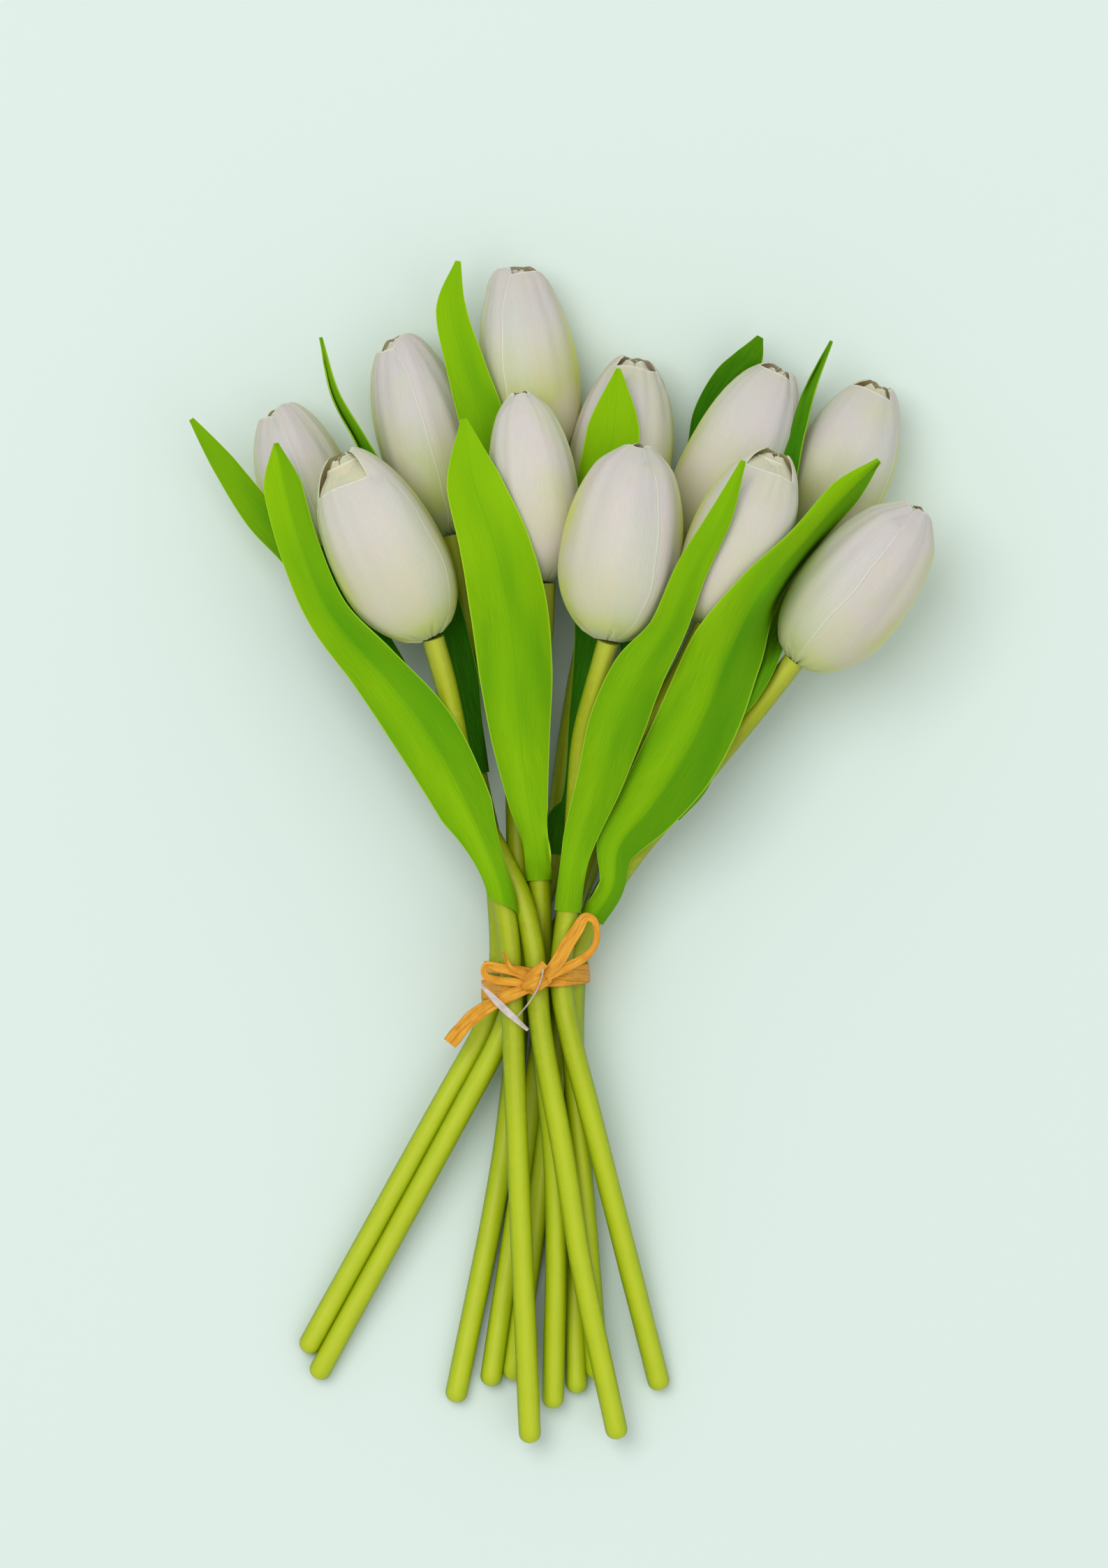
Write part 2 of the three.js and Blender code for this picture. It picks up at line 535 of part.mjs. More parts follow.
function heightOn(grid, x, y) {
  let height;
  const look = (a, b, c) => {
    const area = (b.x - a.x) * (c.y - a.y) - (c.x - a.x) * (b.y - a.y);
    const v = ((x - a.x) * (c.y - a.y) - (c.x - a.x) * (y - a.y)) / area;
    const w = ((b.x - a.x) * (y - a.y) - (x - a.x) * (b.y - a.y)) / area;
    if (v < 0 || w < 0 || v + w > 1) return;
    height = Math.max(height ?? -Infinity, a.z + v * (b.z - a.z) + w * (c.z - a.z));
  };
  for (let i = 0; i < grid.length - 1; i++) {
    for (let j = 0; j < grid[0].length - 1; j++) {
      look(grid[i][j], grid[i][j + 1], grid[i + 1][j + 1]);
      look(grid[i][j], grid[i + 1][j + 1], grid[i + 1][j]);
    }
  }
  return height;
}

// The lowest and highest that a point of a leaf may be, from all that lies under and over it there.
function limitsAt(point, leaf, routes, lower, inSheath) {
  let low = LEAF_REST;
  let high = Infinity;
  const limit = (found, above) => {
    if (found && above) high = Math.min(high, found[0] - found[1]);
    else if (found) low = Math.max(low, found[0] + found[1]);
  };
  BLOOMS.forEach((bloom, k) => {
    limit(limitsFromBloom(point, bloom, LEAF_REST + BLADE_SAG), leaf.beneath.blooms.includes(k));
  });
  routes.forEach((route, k) => {
    const wrapped = inSheath && k === leaf.stem;
    const found = limitsFromStem(point, route, LEAF_REST + (wrapped ? 0 : BLADE_SAG), wrapped ? 0 : BLADE_SPREAD);
    limit(found, leaf.beneath.stems.includes(k));
  });
  const margin = 0.9; // looks this far round the point as well, past the edges of the leaf below
  for (const grid of lower) {
    for (const [dx, dy] of [[0, 0], [margin, 0], [-margin, 0], [0, margin], [0, -margin]]) {
      const height = heightOn(grid, point.x + dx, point.y + dy);
      if (height !== undefined) low = Math.max(low, height + LEAF_OVER_LEAF);
    }
  }
  return low > high ? [(low + high) / 2, (low + high) / 2] : [low, high];
}

// Bends a leaf up or down until it is clear, spreading each shift over the blade.
function drape(leaf, grid, routes, lower) {
  const limits = grid.map((row, i) => row.map((point) => limitsAt(point, leaf, routes, lower, i < SHEATH_ROWS)));
  const shift = grid.map((row) => row.map(() => 0));
  for (let round = 0; round < DRAPE_ROUNDS; round++) {
    for (let i = 0; i < grid.length; i++) {
      for (let j = 0; j < grid[0].length; j++) {
        const near = [shift[i - 1]?.[j], shift[i + 1]?.[j], shift[i][j - 1], shift[i][j + 1]];
        const known = near.filter((value) => value !== undefined);
        const even = (DRAPE_EVENING * known.reduce((a, b) => a + b, 0)) / known.length;
        const [low, high] = i === 0 ? [grid[i][j].z, grid[i][j].z] : limits[i][j];
        shift[i][j] = THREE.MathUtils.clamp(even, low - grid[i][j].z, high - grid[i][j].z);
      }
    }
  }
  grid.forEach((row, i) => row.forEach((point, j) => (point.z += shift[i][j])));
  return grid;
}

function leafSolid(grid) {
  const at = (i, j) =>
    grid[THREE.MathUtils.clamp(i, 0, grid.length - 1)][THREE.MathUtils.clamp(j, 0, LEAF_COLUMNS)];
  const offset = (distance) =>
    grid.map((row, i) =>
      row.map((point, j) => {
        const along = at(i + 1, j).clone().sub(at(i - 1, j));
        const across = at(i, j + 1).clone().sub(at(i, j - 1));
        return point.clone().addScaledVector(across.cross(along).normalize(), distance);
      }),
    );
  return sheet(offset(LEAF_THICKNESS / 2), offset(-LEAF_THICKNESS / 2));
}

// Raffia and tag pin

const BAND_THICKNESS = 0.9;
const BAND_SAMPLES = 20;

// A ring of ribbon drawn tight round all the stems, tilted by slope, with its middle at height y on the bundle.
function band(routes, y, width, slope, lift) {
  const reach = width / 2;
  const spread = [-reach - 2, -reach, 0, reach, reach + 2];
  const centres = spread.flatMap((dy) => routes.map((route) => pointAtY(route, y + dy)));
  const middle = centres.reduce((sum, p) => sum + p.x, 0) / centres.length;
  const rings = Array.from({ length: BAND_SAMPLES }, (_, k) => {
    const angle = (2 * Math.PI * k) / BAND_SAMPLES;
    const out = new THREE.Vector3(Math.cos(angle), 0, Math.sin(angle));
    const farthest = centres.reduce((a, b) => (b.dot(out) > a.dot(out) ? b : a));
    return [[-reach, 0], [reach, 0], [reach, BAND_THICKNESS], [-reach, BAND_THICKNESS]].map(([dy, depth]) => {
      const point = farthest.clone().addScaledVector(out, STEM_RADIUS + GAP + lift + depth);
      return point.setY(y + slope * (point.x - middle) + dy);
    });
  });
  return sweep(rings, true);
}

// A flat ribbon along a line of points, lying with its width across the line.
function ribbon(points, width, thickness) {
  const curve = new THREE.CatmullRomCurve3(points.map(toVector));
  const steps = 2 * (points.length - 1);
  const sections = Array.from({ length: steps + 1 }, (_, n) => {
    const centre = curve.getPoint(n / steps);
    const along = curve.getTangent(n / steps);
    const side = along.clone().cross(UP).normalize().multiplyScalar(width / 2);
    const up = side.clone().cross(along).normalize().multiplyScalar(thickness / 2);
    return [[1, 1], [-1, 1], [-1, -1], [1, -1]].map(([a, b]) =>
      centre.clone().addScaledVector(side, a).addScaledVector(up, b),
    );
  });
  return sweep(sections);
}

function raffiaSolid(routes) {
  const knot = new THREE.SphereGeometry(1, 8, 6).scale(4.2, 3.2, 2.2).translate(...KNOT);
  return fused([
    band(routes, TIE_Y - 1, 5.5, 0.16, 0),
    band(routes, TIE_Y + 1.5, 3.2, -0.1, 0.4),
    knot,
    ribbon([KNOT, ...BOW, KNOT], 2.4, 0.9),
    ribbon([KNOT, ...LEFT_LOOP, KNOT], 2.4, 0.9),
    ribbon([KNOT, ...TAIL], 4.4, 0.9),
    ribbon([KNOT, ...SPIKE], 1.8, 0.9),
  ]);
}

function tagPinSolid() {
  return fused([ribbon(TAG_BAR, 2.2, 1), ribbon(TAG_THREAD, 0.8, 0.8)]);
}

// Assembly

function addPiece(group, name, geometry, material) {
  const mesh = new THREE.Mesh(geometry, material);
  mesh.name = name;
  group.add(mesh);
}

const number = (k) => String(k + 1).padStart(2, "0");
const bunch = new THREE.Group();
const routes = settle(STEMS.map((stem, k) => stemRoute(stem, BLOOMS[k])));

BLOOMS.forEach((bloom, k) => {
  const resting = largestBody(bloomSolid(bloom).subtract(belowSurface()));
  addPiece(bunch, "bloom_" + number(k), geometryFrom(resting), petalWhite);
  addPiece(bunch, "stem_" + number(k), stemSolid(routes[k]), stemGreen);
});

const draped = [];
LEAVES.forEach((leaf, k) => {
  const grid = drape(leaf, leafShape(leaf, routes[leaf.stem]), routes, draped);
  draped.push(grid);
  addPiece(bunch, "leaf_" + number(k), leafSolid(grid), leafGreen);
});

addPiece(bunch, "raffia_tie", geometryFrom(raffiaSolid(routes)), raffiaOrange);
addPiece(bunch, "tag_pin", geometryFrom(tagPinSolid()), pinWhite);

export default bunch;
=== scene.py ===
"""The looks of a bunch of artificial tulips lying on a surface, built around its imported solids."""

import math

import bpy
import numpy as np
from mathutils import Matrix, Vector, kdtree, noise


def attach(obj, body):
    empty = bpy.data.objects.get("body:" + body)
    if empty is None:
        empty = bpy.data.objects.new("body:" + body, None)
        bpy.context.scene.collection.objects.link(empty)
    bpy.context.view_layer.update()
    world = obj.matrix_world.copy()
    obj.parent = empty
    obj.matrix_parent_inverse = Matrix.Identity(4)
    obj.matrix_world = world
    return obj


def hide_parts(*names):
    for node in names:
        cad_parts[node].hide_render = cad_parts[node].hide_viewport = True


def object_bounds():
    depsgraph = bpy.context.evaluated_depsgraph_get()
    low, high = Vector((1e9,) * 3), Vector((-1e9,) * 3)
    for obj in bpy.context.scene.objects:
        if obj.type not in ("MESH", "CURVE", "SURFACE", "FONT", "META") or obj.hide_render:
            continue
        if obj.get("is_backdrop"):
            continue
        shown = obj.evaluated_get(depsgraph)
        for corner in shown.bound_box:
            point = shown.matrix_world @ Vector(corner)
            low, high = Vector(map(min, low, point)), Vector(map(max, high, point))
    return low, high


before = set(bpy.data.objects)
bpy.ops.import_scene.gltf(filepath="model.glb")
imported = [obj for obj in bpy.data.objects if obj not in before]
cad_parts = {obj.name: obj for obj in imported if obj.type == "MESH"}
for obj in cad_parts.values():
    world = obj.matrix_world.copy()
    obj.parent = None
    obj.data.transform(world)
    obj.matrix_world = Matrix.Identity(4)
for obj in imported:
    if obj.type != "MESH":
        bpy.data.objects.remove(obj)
cad_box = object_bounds()
MM = 0.001
UP = np.array([0.0, 0.0, 1.0])

# Camera: straight above, far away, with a long lens, and as wide a view as the photograph's
PHOTO_WIDTH = 1587  # pixels
MM_PER_PIXEL = 0.2  # of the bunch in the photograph
FRAME_WIDTH = PHOTO_WIDTH * MM_PER_PIXEL * MM
SENSOR_WIDTH = 36
VIEW_CENTRE = (-2 * MM, 21 * MM)
VIEW_DISTANCE = 5.0
VIEW_PLANE = 0.03  # the height at which the scale holds

camera_data = bpy.data.cameras.new("camera")
camera_data.sensor_fit = "HORIZONTAL"
camera_data.sensor_width = SENSOR_WIDTH
camera_data.lens = SENSOR_WIDTH * VIEW_DISTANCE / FRAME_WIDTH
camera = bpy.data.objects.new("camera", camera_data)
camera.location = (*VIEW_CENTRE, VIEW_PLANE + VIEW_DISTANCE)
bpy.context.scene.collection.objects.link(camera)
bpy.context.scene.camera = camera
bpy.context.scene.view_settings.view_transform = "Standard"

# The same driving dimensions as the solids, in millimetres
STEM_RADIUS = 2.9
GAP = 0.35  # between the stems and the raffia round them
BLOOM_LENGTH = 56
PEAK = 0.4  # where along its length a bloom is widest
BASE_SHARE = 0.24  # a bloom's radius at its base, against its greatest
TIP_SHARE = 0.26  # the same at its tip
SHEATH_WIDTH = 7.4
SHEATH_LENGTH = 9
SHEATH_HALF_ANGLE = math.radians(80)
LEAF_REST = 0.75  # from a stem to the middle of the sheath round it
CREASE = 1.6  # the fold of a leaf: 1 would be a sharp crease, 2 a round one
SOLID_ROWS = 1.4  # rows of corners in a leaf's solid, to each point of its midline
SOLID_COLUMNS = 4  # spaces across a leaf's solid
TIE_Y = -34.5

# What the drawn pieces add to that, in millimetres where nothing else is said
SHARP_ANGLE = math.radians(50)  # the rims of petals, leaves and strips are crisp, the rest is smooth
STEM_SWELL = 1.1  # the drawn stem against its solid
STEM_SIDES = 24
STEM_DOME = [0.95, 0.8, 0.55, 0.2]  # the last rings of a stem, against its radius
STEM_INSET = 3.2  # how far inside a stem's ends its solid is first and last cut
STEM_STEP = 2.0  # from one cut to the next
STEM_SMOOTHING = 14  # times that the middles of these cuts are smoothed
STEM_LOWEST = 0.1  # the height above the floor that a stem keeps
WAY_ROUND = 1.8  # a stem's girth in centimetres, for its markings
PETAL_ROWS = 50
PETAL_COLUMNS = 34
PETAL_CM = (3.2, 5.6)  # a petal laid flat, in centimetres, for its markings
PETAL_THICKNESS = (0.8, 0.5)  # at its base and at its tip
PETAL_RIM = 0.35  # the thickness of a petal's side edges against that
PETAL_LOWEST = (0.25, 0.5)  # the heights above the floor that its outside and its inside keep
THREE_SIDED = 0.035  # how far a bloom is from round, against its radius
OUTER_HALF_ANGLE = 76  # how far an outer petal reaches round its bloom, in degrees
INNER_HALF_ANGLE = 74
INNER_START = 0.3  # the share of the bloom at which its inner petals start
INNER_SHORTER = 0.01  # the share of the bloom by which they end sooner
INNER_INSET = 0.6
INNER_LIP = -2.6  # the inner petals close the mouth of the bloom
INNER_TRIM = 0.6
LIP = 0.1  # how far the tips of outer petals open, or close where it is below zero
LIP_OF_BLOOM = {1: 1.0, 8: -0.8, 9: -1.6, 11: -1.2}
FULL = 1.03  # a bloom closes at this share of its length
SHORT_BLOOMS = (8, 9, 10)  # these close at the end of it
FRONT_HEIGHT = 25  # a bloom whose base is higher than this is one of the front ones
CORE_TOP = 0.95  # the core's length against its bloom's
CORE_INSET = 2.1
CORE_LEAST = 1.5  # its smallest radius
CORE_RINGS = 16
CORE_SIDES = 32
CORE_STEP = 0.3  # centimetres from ring to ring, for its markings
LEAF_ROWS = 96
LEAF_COLUMNS = 20
LEAF_THICKNESS = 0.5
LEAF_LOWEST = (0.6, 0.3)  # the heights above the floor that its front and its back keep
SLANT_OF_LEAF = {12: 0.1}  # the sheath of the left front leaf ends at a slant, in shares of the leaf
STRIP_STEPS = 10  # for each point of a strip of raffia
STRIP_COLUMNS = 10
BAND_SAMPLES = 96
BAND_COLUMNS = 12
BAND_SMOOTHING = 4
BAND_GIRTH = 10  # in centimetres, for its markings
BAND_THICKNESS = 0.4
BAND_LOWEST = (0.3, 0.35)  # the heights above the floor that its outside and its inside keep
PINCH = 0.35  # how much narrower the band is under the knot
PINCH_REACH = 6
PINCH_HEIGHT = 18  # the band is pinched only above this

# Each bloom: base, tip, greatest radius, turn of its front petal from straight up in degrees, and how many
# millimetres shorter that petal is.
BLOOMS = [
    ([-6.2, 112, 14], [-13.2, 168, 13.6], 14.2, 48, 2),
    ([-31.5, 93, 13.4], [-47, 148, 13], 13.6, -71, 3),
    ([-64, 78, 13.4], [-81, 128, 13], 13.6, -74, 2),
    ([12.3, 87, 14.5], [21, 142, 14.1], 14.8, 10, 3),
    ([37, 87, 17.4], [62.5, 139, 17.4], 14.2, -20, 2),
    ([69.5, 85, 14.4], [91, 134.5, 14], 14.6, -14, 3),
    ([-37, 63, 35], [-62.5, 114, 37], 16.1, -26, 8.5),
    ([-5, 79.5, 30.4], [-11.4, 133, 37.6], 12.6, 5, 0),
    ([13.4, 62, 45], [22.7, 118, 46], 17.2, -43, 0.5),
    ([41.2, 66.5, 43.2], [61.6, 116, 45.2], 14.4, 2, 6),
    ([66.9, 56.2, 31], [102.1, 98.6, 36], 15.8, -76, 1),
]

# Each leaf: the stem it grows on, counted from 0, where its sheath begins, its roll and fold, its midline
# as [x, y, width, height], the painted shade on it from sheath to tip, and the painted shade on its right
# half.
LEAVES = [
    (4, 40, 0, 0.1, [[20, 62, 6, 10], [23, 77, 6.5, 6], [27, 90, 8, 2.5], [34, 103, 8, 1.2],
     [40, 117, 8, 1.2], [42, 127, 8, 3], [48, 137, 9, 9], [54, 143.2, 8, 14], [57.2, 149.3, 2, 17]],
     [0.9, 0.9, 0.9, 0.85, 0.7], 0),
    (2, 28, 0, 0.5, [[-50, 47, 11, 21], [-62, 66, 11, 22], [-74, 86, 11, 22], [-86, 98, 9.5, 21],
     [-97, 113, 6.5, 22], [-106, 125.5, 1.4, 24]], [0.6, 0.6, 0.5, 0.25, 0.15], 0),
    (2, 12, 0, 0.3, [[-53, 63, 7, 26], [-62, 77, 6, 27], [-69, 89, 1.4, 29]], [0.9, 0.9, 0.9, 0.9, 0.9], 0),
    (1, 24, 62, 0.3, [[-29, 50, 11, 16], [-35, 75, 10, 15], [-44, 95, 8, 14], [-53, 110, 8, 15],
     [-59, 120.5, 7, 17], [-65.5, 133, 5, 19], [-69, 149, 1.4, 21]], [0.9, 0.9, 0.8, 0.5, 0.35], 0),
    (0, 56, 0, 0.3, [[-15, 82, 10, 16], [-18, 105, 12, 20], [-22.5, 125, 13, 22], [-27.5, 141.5, 11, 22],
     [-31.5, 157.5, 8.5, 20], [-29.5, 171, 1.4, 18]], [0.5, 0.3, 0.1, 0, 0], 0),
    (5, 34, 60, 0.3, [[56, 78, 8, 16], [63, 105, 8, 21], [67.5, 124, 8, 19], [71, 135, 6, 19],
     [77.5, 148, 1.4, 21]], [0.9, 0.9, 0.8, 0.7, 0.6], 0),
    (10, 13, 0, 0.4, [[42.5, 34.5, 6, 28], [53.5, 46.5, 6, 28], [60, 58, 5.5, 24], [63.2, 68, 4.4, 17],
     [65.5, 77, 1.4, 16]], [0.5, 0.5, 0.5, 0.6, 0.7], 0),
    (3, 1, 0, 0.3, [[3, 15, 6.5, 14], [7, 42, 9, 17], [10, 65.5, 12, 19], [9.5, 85.5, 14, 26],
     [12, 103, 16, 29], [15, 122, 15, 30], [16.5, 140, 1.4, 28]], [0.8, 0.9, 0.9, 0.1, 0], 0),
    (10, -17.5, 0, 0.45, [[16, 3, 12, 24], [25, 15, 18, 28], [33, 27, 22, 30], [40, 41, 23, 31],
     [47.5, 59.5, 21, 34], [56, 75.5, 13, 38], [69, 90.5, 8.5, 38], [80.5, 103.5, 8.5, 34],
     [91, 113.5, 1.4, 32]], [0.05, 0.1, 0.05, 0, 0.05], 0.5),
    (8, -15.5, 0, 0.45, [[5, 4, 9, 30], [11, 21.5, 13, 36], [16.5, 39.5, 16, 42], [22, 52.5, 15, 47],
     [30, 64.5, 10.5, 50], [37, 81.5, 9, 54], [45.5, 97.5, 6.5, 57], [52, 113, 1.4, 57]],
     [0.1, 0.12, 0.1, 0.1, 0.1], 0.1),
    (7, -6.5, 0, 0.3, [[-9, 13.5, 10.5, 26], [-11.5, 33.5, 16.5, 30], [-13, 53.5, 21, 35],
     [-15, 71.5, 22, 40], [-19, 89.5, 20, 43], [-25, 107.5, 15.5, 42], [-27.8, 125.3, 1.6, 38]],
     [0, 0, 0, 0, 0], 0),
    (6, -17, 0, 0.4, [[-27, 13.5, 15.5, 30], [-39, 35.5, 18.5, 32], [-53, 53.5, 15, 32],
     [-66.5, 69.5, 12, 32], [-74.5, 87.5, 11.5, 33], [-79.5, 105.5, 11, 33], [-81.5, 118.5, 1.4, 34]],
     [0, 0, 0, 0, 0], 0.35),
]

# Points of the raffia and of the tag pin. Every strip but the wrap over the knot starts in the knot.
KNOT = [-7, -36.5, 27.8]
BOW = [[-3.7, -34.3, 28], [1.5, -31.6, 28], [6.7, -28.7, 27.4], [9.6, -25.3, 26.8], [10.3, -21.5, 26.4],
       [9.4, -18, 26.2], [7, -17.2, 26.6], [4.6, -20.8, 27.2], [1.8, -25, 27.8], [-1, -30, 28.2]]
LEFT_LOOP = [[-12, -33.2, 28], [-18, -31.6, 27.2], [-21.4, -30.9, 26], [-22.2, -33, 25.6],
             [-20.5, -34.7, 25.8], [-13, -35.8, 27.4]]
TAIL = [[-12, -38.5, 27.6], [-16.5, -40.4, 26.6], [-21, -42.8, 25.4], [-25.5, -46, 24.2],
        [-29, -49.8, 23.2], [-31.9, -53.4, 22.4]]
SPIKE = [[-11, -33, 28.2], [-14.5, -31.5, 28.8], [-16.5, -27, 29.2]]
SHORT_END = [[-9, -35, 29.4], [-4.6, -30.4, 29.6]]
WRAP = [[-9.6, -38.6, 27.2], [-9.0, -37.2, 29.6], [-6.6, -35.8, 30.2], [-4.6, -34.8, 29], [-4.4, -34.6, 27.2]]
TAG_BAR = [[-23, -36.5, 28.4], [-16.5, -43.2, 28], [-9.5, -49.5, 27]]
TAG_THREAD = [[-12.4, -45.5, 27.8], [-9.4, -41.9, 29.6], [-7, -38, 31], [-5.6, -34.6, 30.8],
              [-5.1, -32, 29.6]]


def mix(a, b, share):
    return a + (b - a) * share


def smoothstep(x, low, high):
    s = min(1, max(0, (x - low) / (high - low)))
    return s * s * (3 - 2 * s)


def unit(v):
    return v / np.linalg.norm(v)


def wobble(x, y, z=0.0):
    """Smooth noise from -1 to 1."""
    return noise.noise(Vector((x, y, z)))


class Curve:
    """A smooth curve through points, with more even bends than a plain spline."""

    def __init__(self, points):
        self.p = np.array(points, dtype=float)

    def at(self, share):
        p = self.p
        last = len(p) - 1
        place = min(max(share, 0), 1) * last
        i = min(int(place), last - 1)
        w = place - i
        before = p[i - 1] if i > 0 else 2 * p[0] - p[1]
        after = p[i + 2] if i + 2 <= last else 2 * p[last] - p[last - 1]
        four = [before, p[i], p[i + 1], after]
        spans = [max(np.linalg.norm(b - a), 1e-4) ** 0.5 for a, b in zip(four, four[1:])]
        x0, x1, x2, x3 = four
        d0, d1, d2 = spans
        s1 = ((x1 - x0) / d0 - (x2 - x0) / (d0 + d1) + (x2 - x1) / d1) * d1
        s2 = ((x2 - x1) / d1 - (x3 - x1) / (d1 + d2) + (x3 - x2) / d2) * d1
        c2 = -3 * x1 + 3 * x2 - 2 * s1 - s2
        c3 = 2 * x1 - 2 * x2 + s1 + s2
        return x1 + s1 * w + c2 * w * w + c3 * w ** 3

    def along(self, share):
        return unit(self.at(share + 1e-4) - self.at(share - 1e-4))


# Meshes


def add_object(name, points, faces, maps, material):
    """A smooth-shaded mesh from points in millimetres, with named UV maps."""
    mesh = bpy.data.meshes.new(name)
    mesh.from_pydata([tuple(np.asarray(p) * MM) for p in points], [], faces)
    for label, values in maps.items():
        layer = mesh.uv_layers.new(name=label)
        flat = np.array([values[loop.vertex_index] for loop in mesh.loops], dtype=np.float32)
        layer.data.foreach_set("uv", flat.ravel())
    mesh.polygons.foreach_set("use_smooth", [True] * len(mesh.polygons))
    mesh.set_sharp_from_angle(angle=SHARP_ANGLE)
    mesh.materials.append(material)
    made = bpy.data.objects.new(name, mesh)
    bpy.context.scene.collection.objects.link(made)
    return made


class Shape:
    """Collects sheets and tubes into one mesh with two maps.

    One map goes from 0 to 1 across and along each sheet. The other is in centimetres, from cm(row, column).
    """

    def __init__(self):
        self.points, self.faces, self.shares, self.scaled = [], [], [], []

    def grid(self, rows, cm, ring=False):
        """Adds rows of points and the faces between them, closed round if they are rings."""
        start = len(self.points)
        columns = len(rows[0])
        spaces = columns if ring else columns - 1
        last = len(rows) - 1
        for i, row in enumerate(rows):
            for j, point in enumerate(row):
                self.points.append(point)
                self.shares.append((j / spaces, i / last))
                self.scaled.append(cm(i, j))
        for i in range(last):
            for j in range(spaces):
                k = (j + 1) % columns
                a, b = start + i * columns + j, start + i * columns + k
                self.faces.append((a, b, b + columns, a + columns))
        return start

    def cap(self, start, sides, centre, at_end):
        """Closes a tube from its first or its last ring to a point."""
        place = (0, 1 if at_end else 0)
        self.points.append(centre)
        self.shares.append(place)
        self.scaled.append(place)
        top = len(self.points) - 1
        for j in range(sides):
            a, b = start + j, start + (j + 1) % sides
            self.faces.append((a, b, top) if at_end else (b, a, top))

    def sheet(self, front, back, cm):
        """A thin closed piece between two grids of points."""
        rows, columns = len(front), len(front[0])
        a = self.grid(front, cm)
        b = self.grid(back, cm)
        size = (rows - 1) * (columns - 1)
        self.faces[-size:] = [face[::-1] for face in self.faces[-size:]]
        border = [(0, j) for j in range(columns - 1)]
        border += [(i, columns - 1) for i in range(rows - 1)]
        border += [(rows - 1, j) for j in range(columns - 1, 0, -1)]
        border += [(i, 0) for i in range(rows - 1, 0, -1)]
        for (i, j), (k, m) in zip(border, border[1:] + border[:1]):
            p, q = i * columns + j, k * columns + m
            self.faces.append((a + q, a + p, b + p, b + q))

    def tube(self, centres, radius, sides, ring_length):
        """A closed tube of radius(n) at ring n, with the length of a ring in centimetres for its markings."""
        rings = []
        last = len(centres) - 1
        for n, centre in enumerate(centres):
            along = unit(centres[min(n + 1, last)] - centres[max(n - 1, 0)])
            side = unit(np.cross(along, UP))
            up = np.cross(side, along)
            angles = [2 * math.pi * k / sides for k in range(sides)]
            rings.append([centre + radius(n) * (side * math.cos(a) + up * math.sin(a)) for a in angles])
        start = self.grid(rings, lambda i, j: (j / sides * WAY_ROUND, i * ring_length), ring=True)
        self.cap(start, sides, centres[0], at_end=False)
        self.cap(start + last * sides, sides, centres[-1], at_end=True)

    def build(self, name, material, **maps):
        """The mesh as an object, with its two maps and any others."""
        maps = {"share": self.shares, "cm": self.scaled, **maps}
        return add_object(name, self.points, self.faces, maps, material)


def put(piece, node):
    """Puts a piece in the place of a node."""
    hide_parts(node)
    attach(piece, "root")


# Materials


def srgb(*colour):
    """A colour seen on screen, from 0 to 255, as the shader's linear colour."""
    linear = [(c / 255 / 12.92) if c <= 10 else ((c / 255 + 0.055) / 1.055) ** 2.4 for c in colour]
    return (*linear, 1)


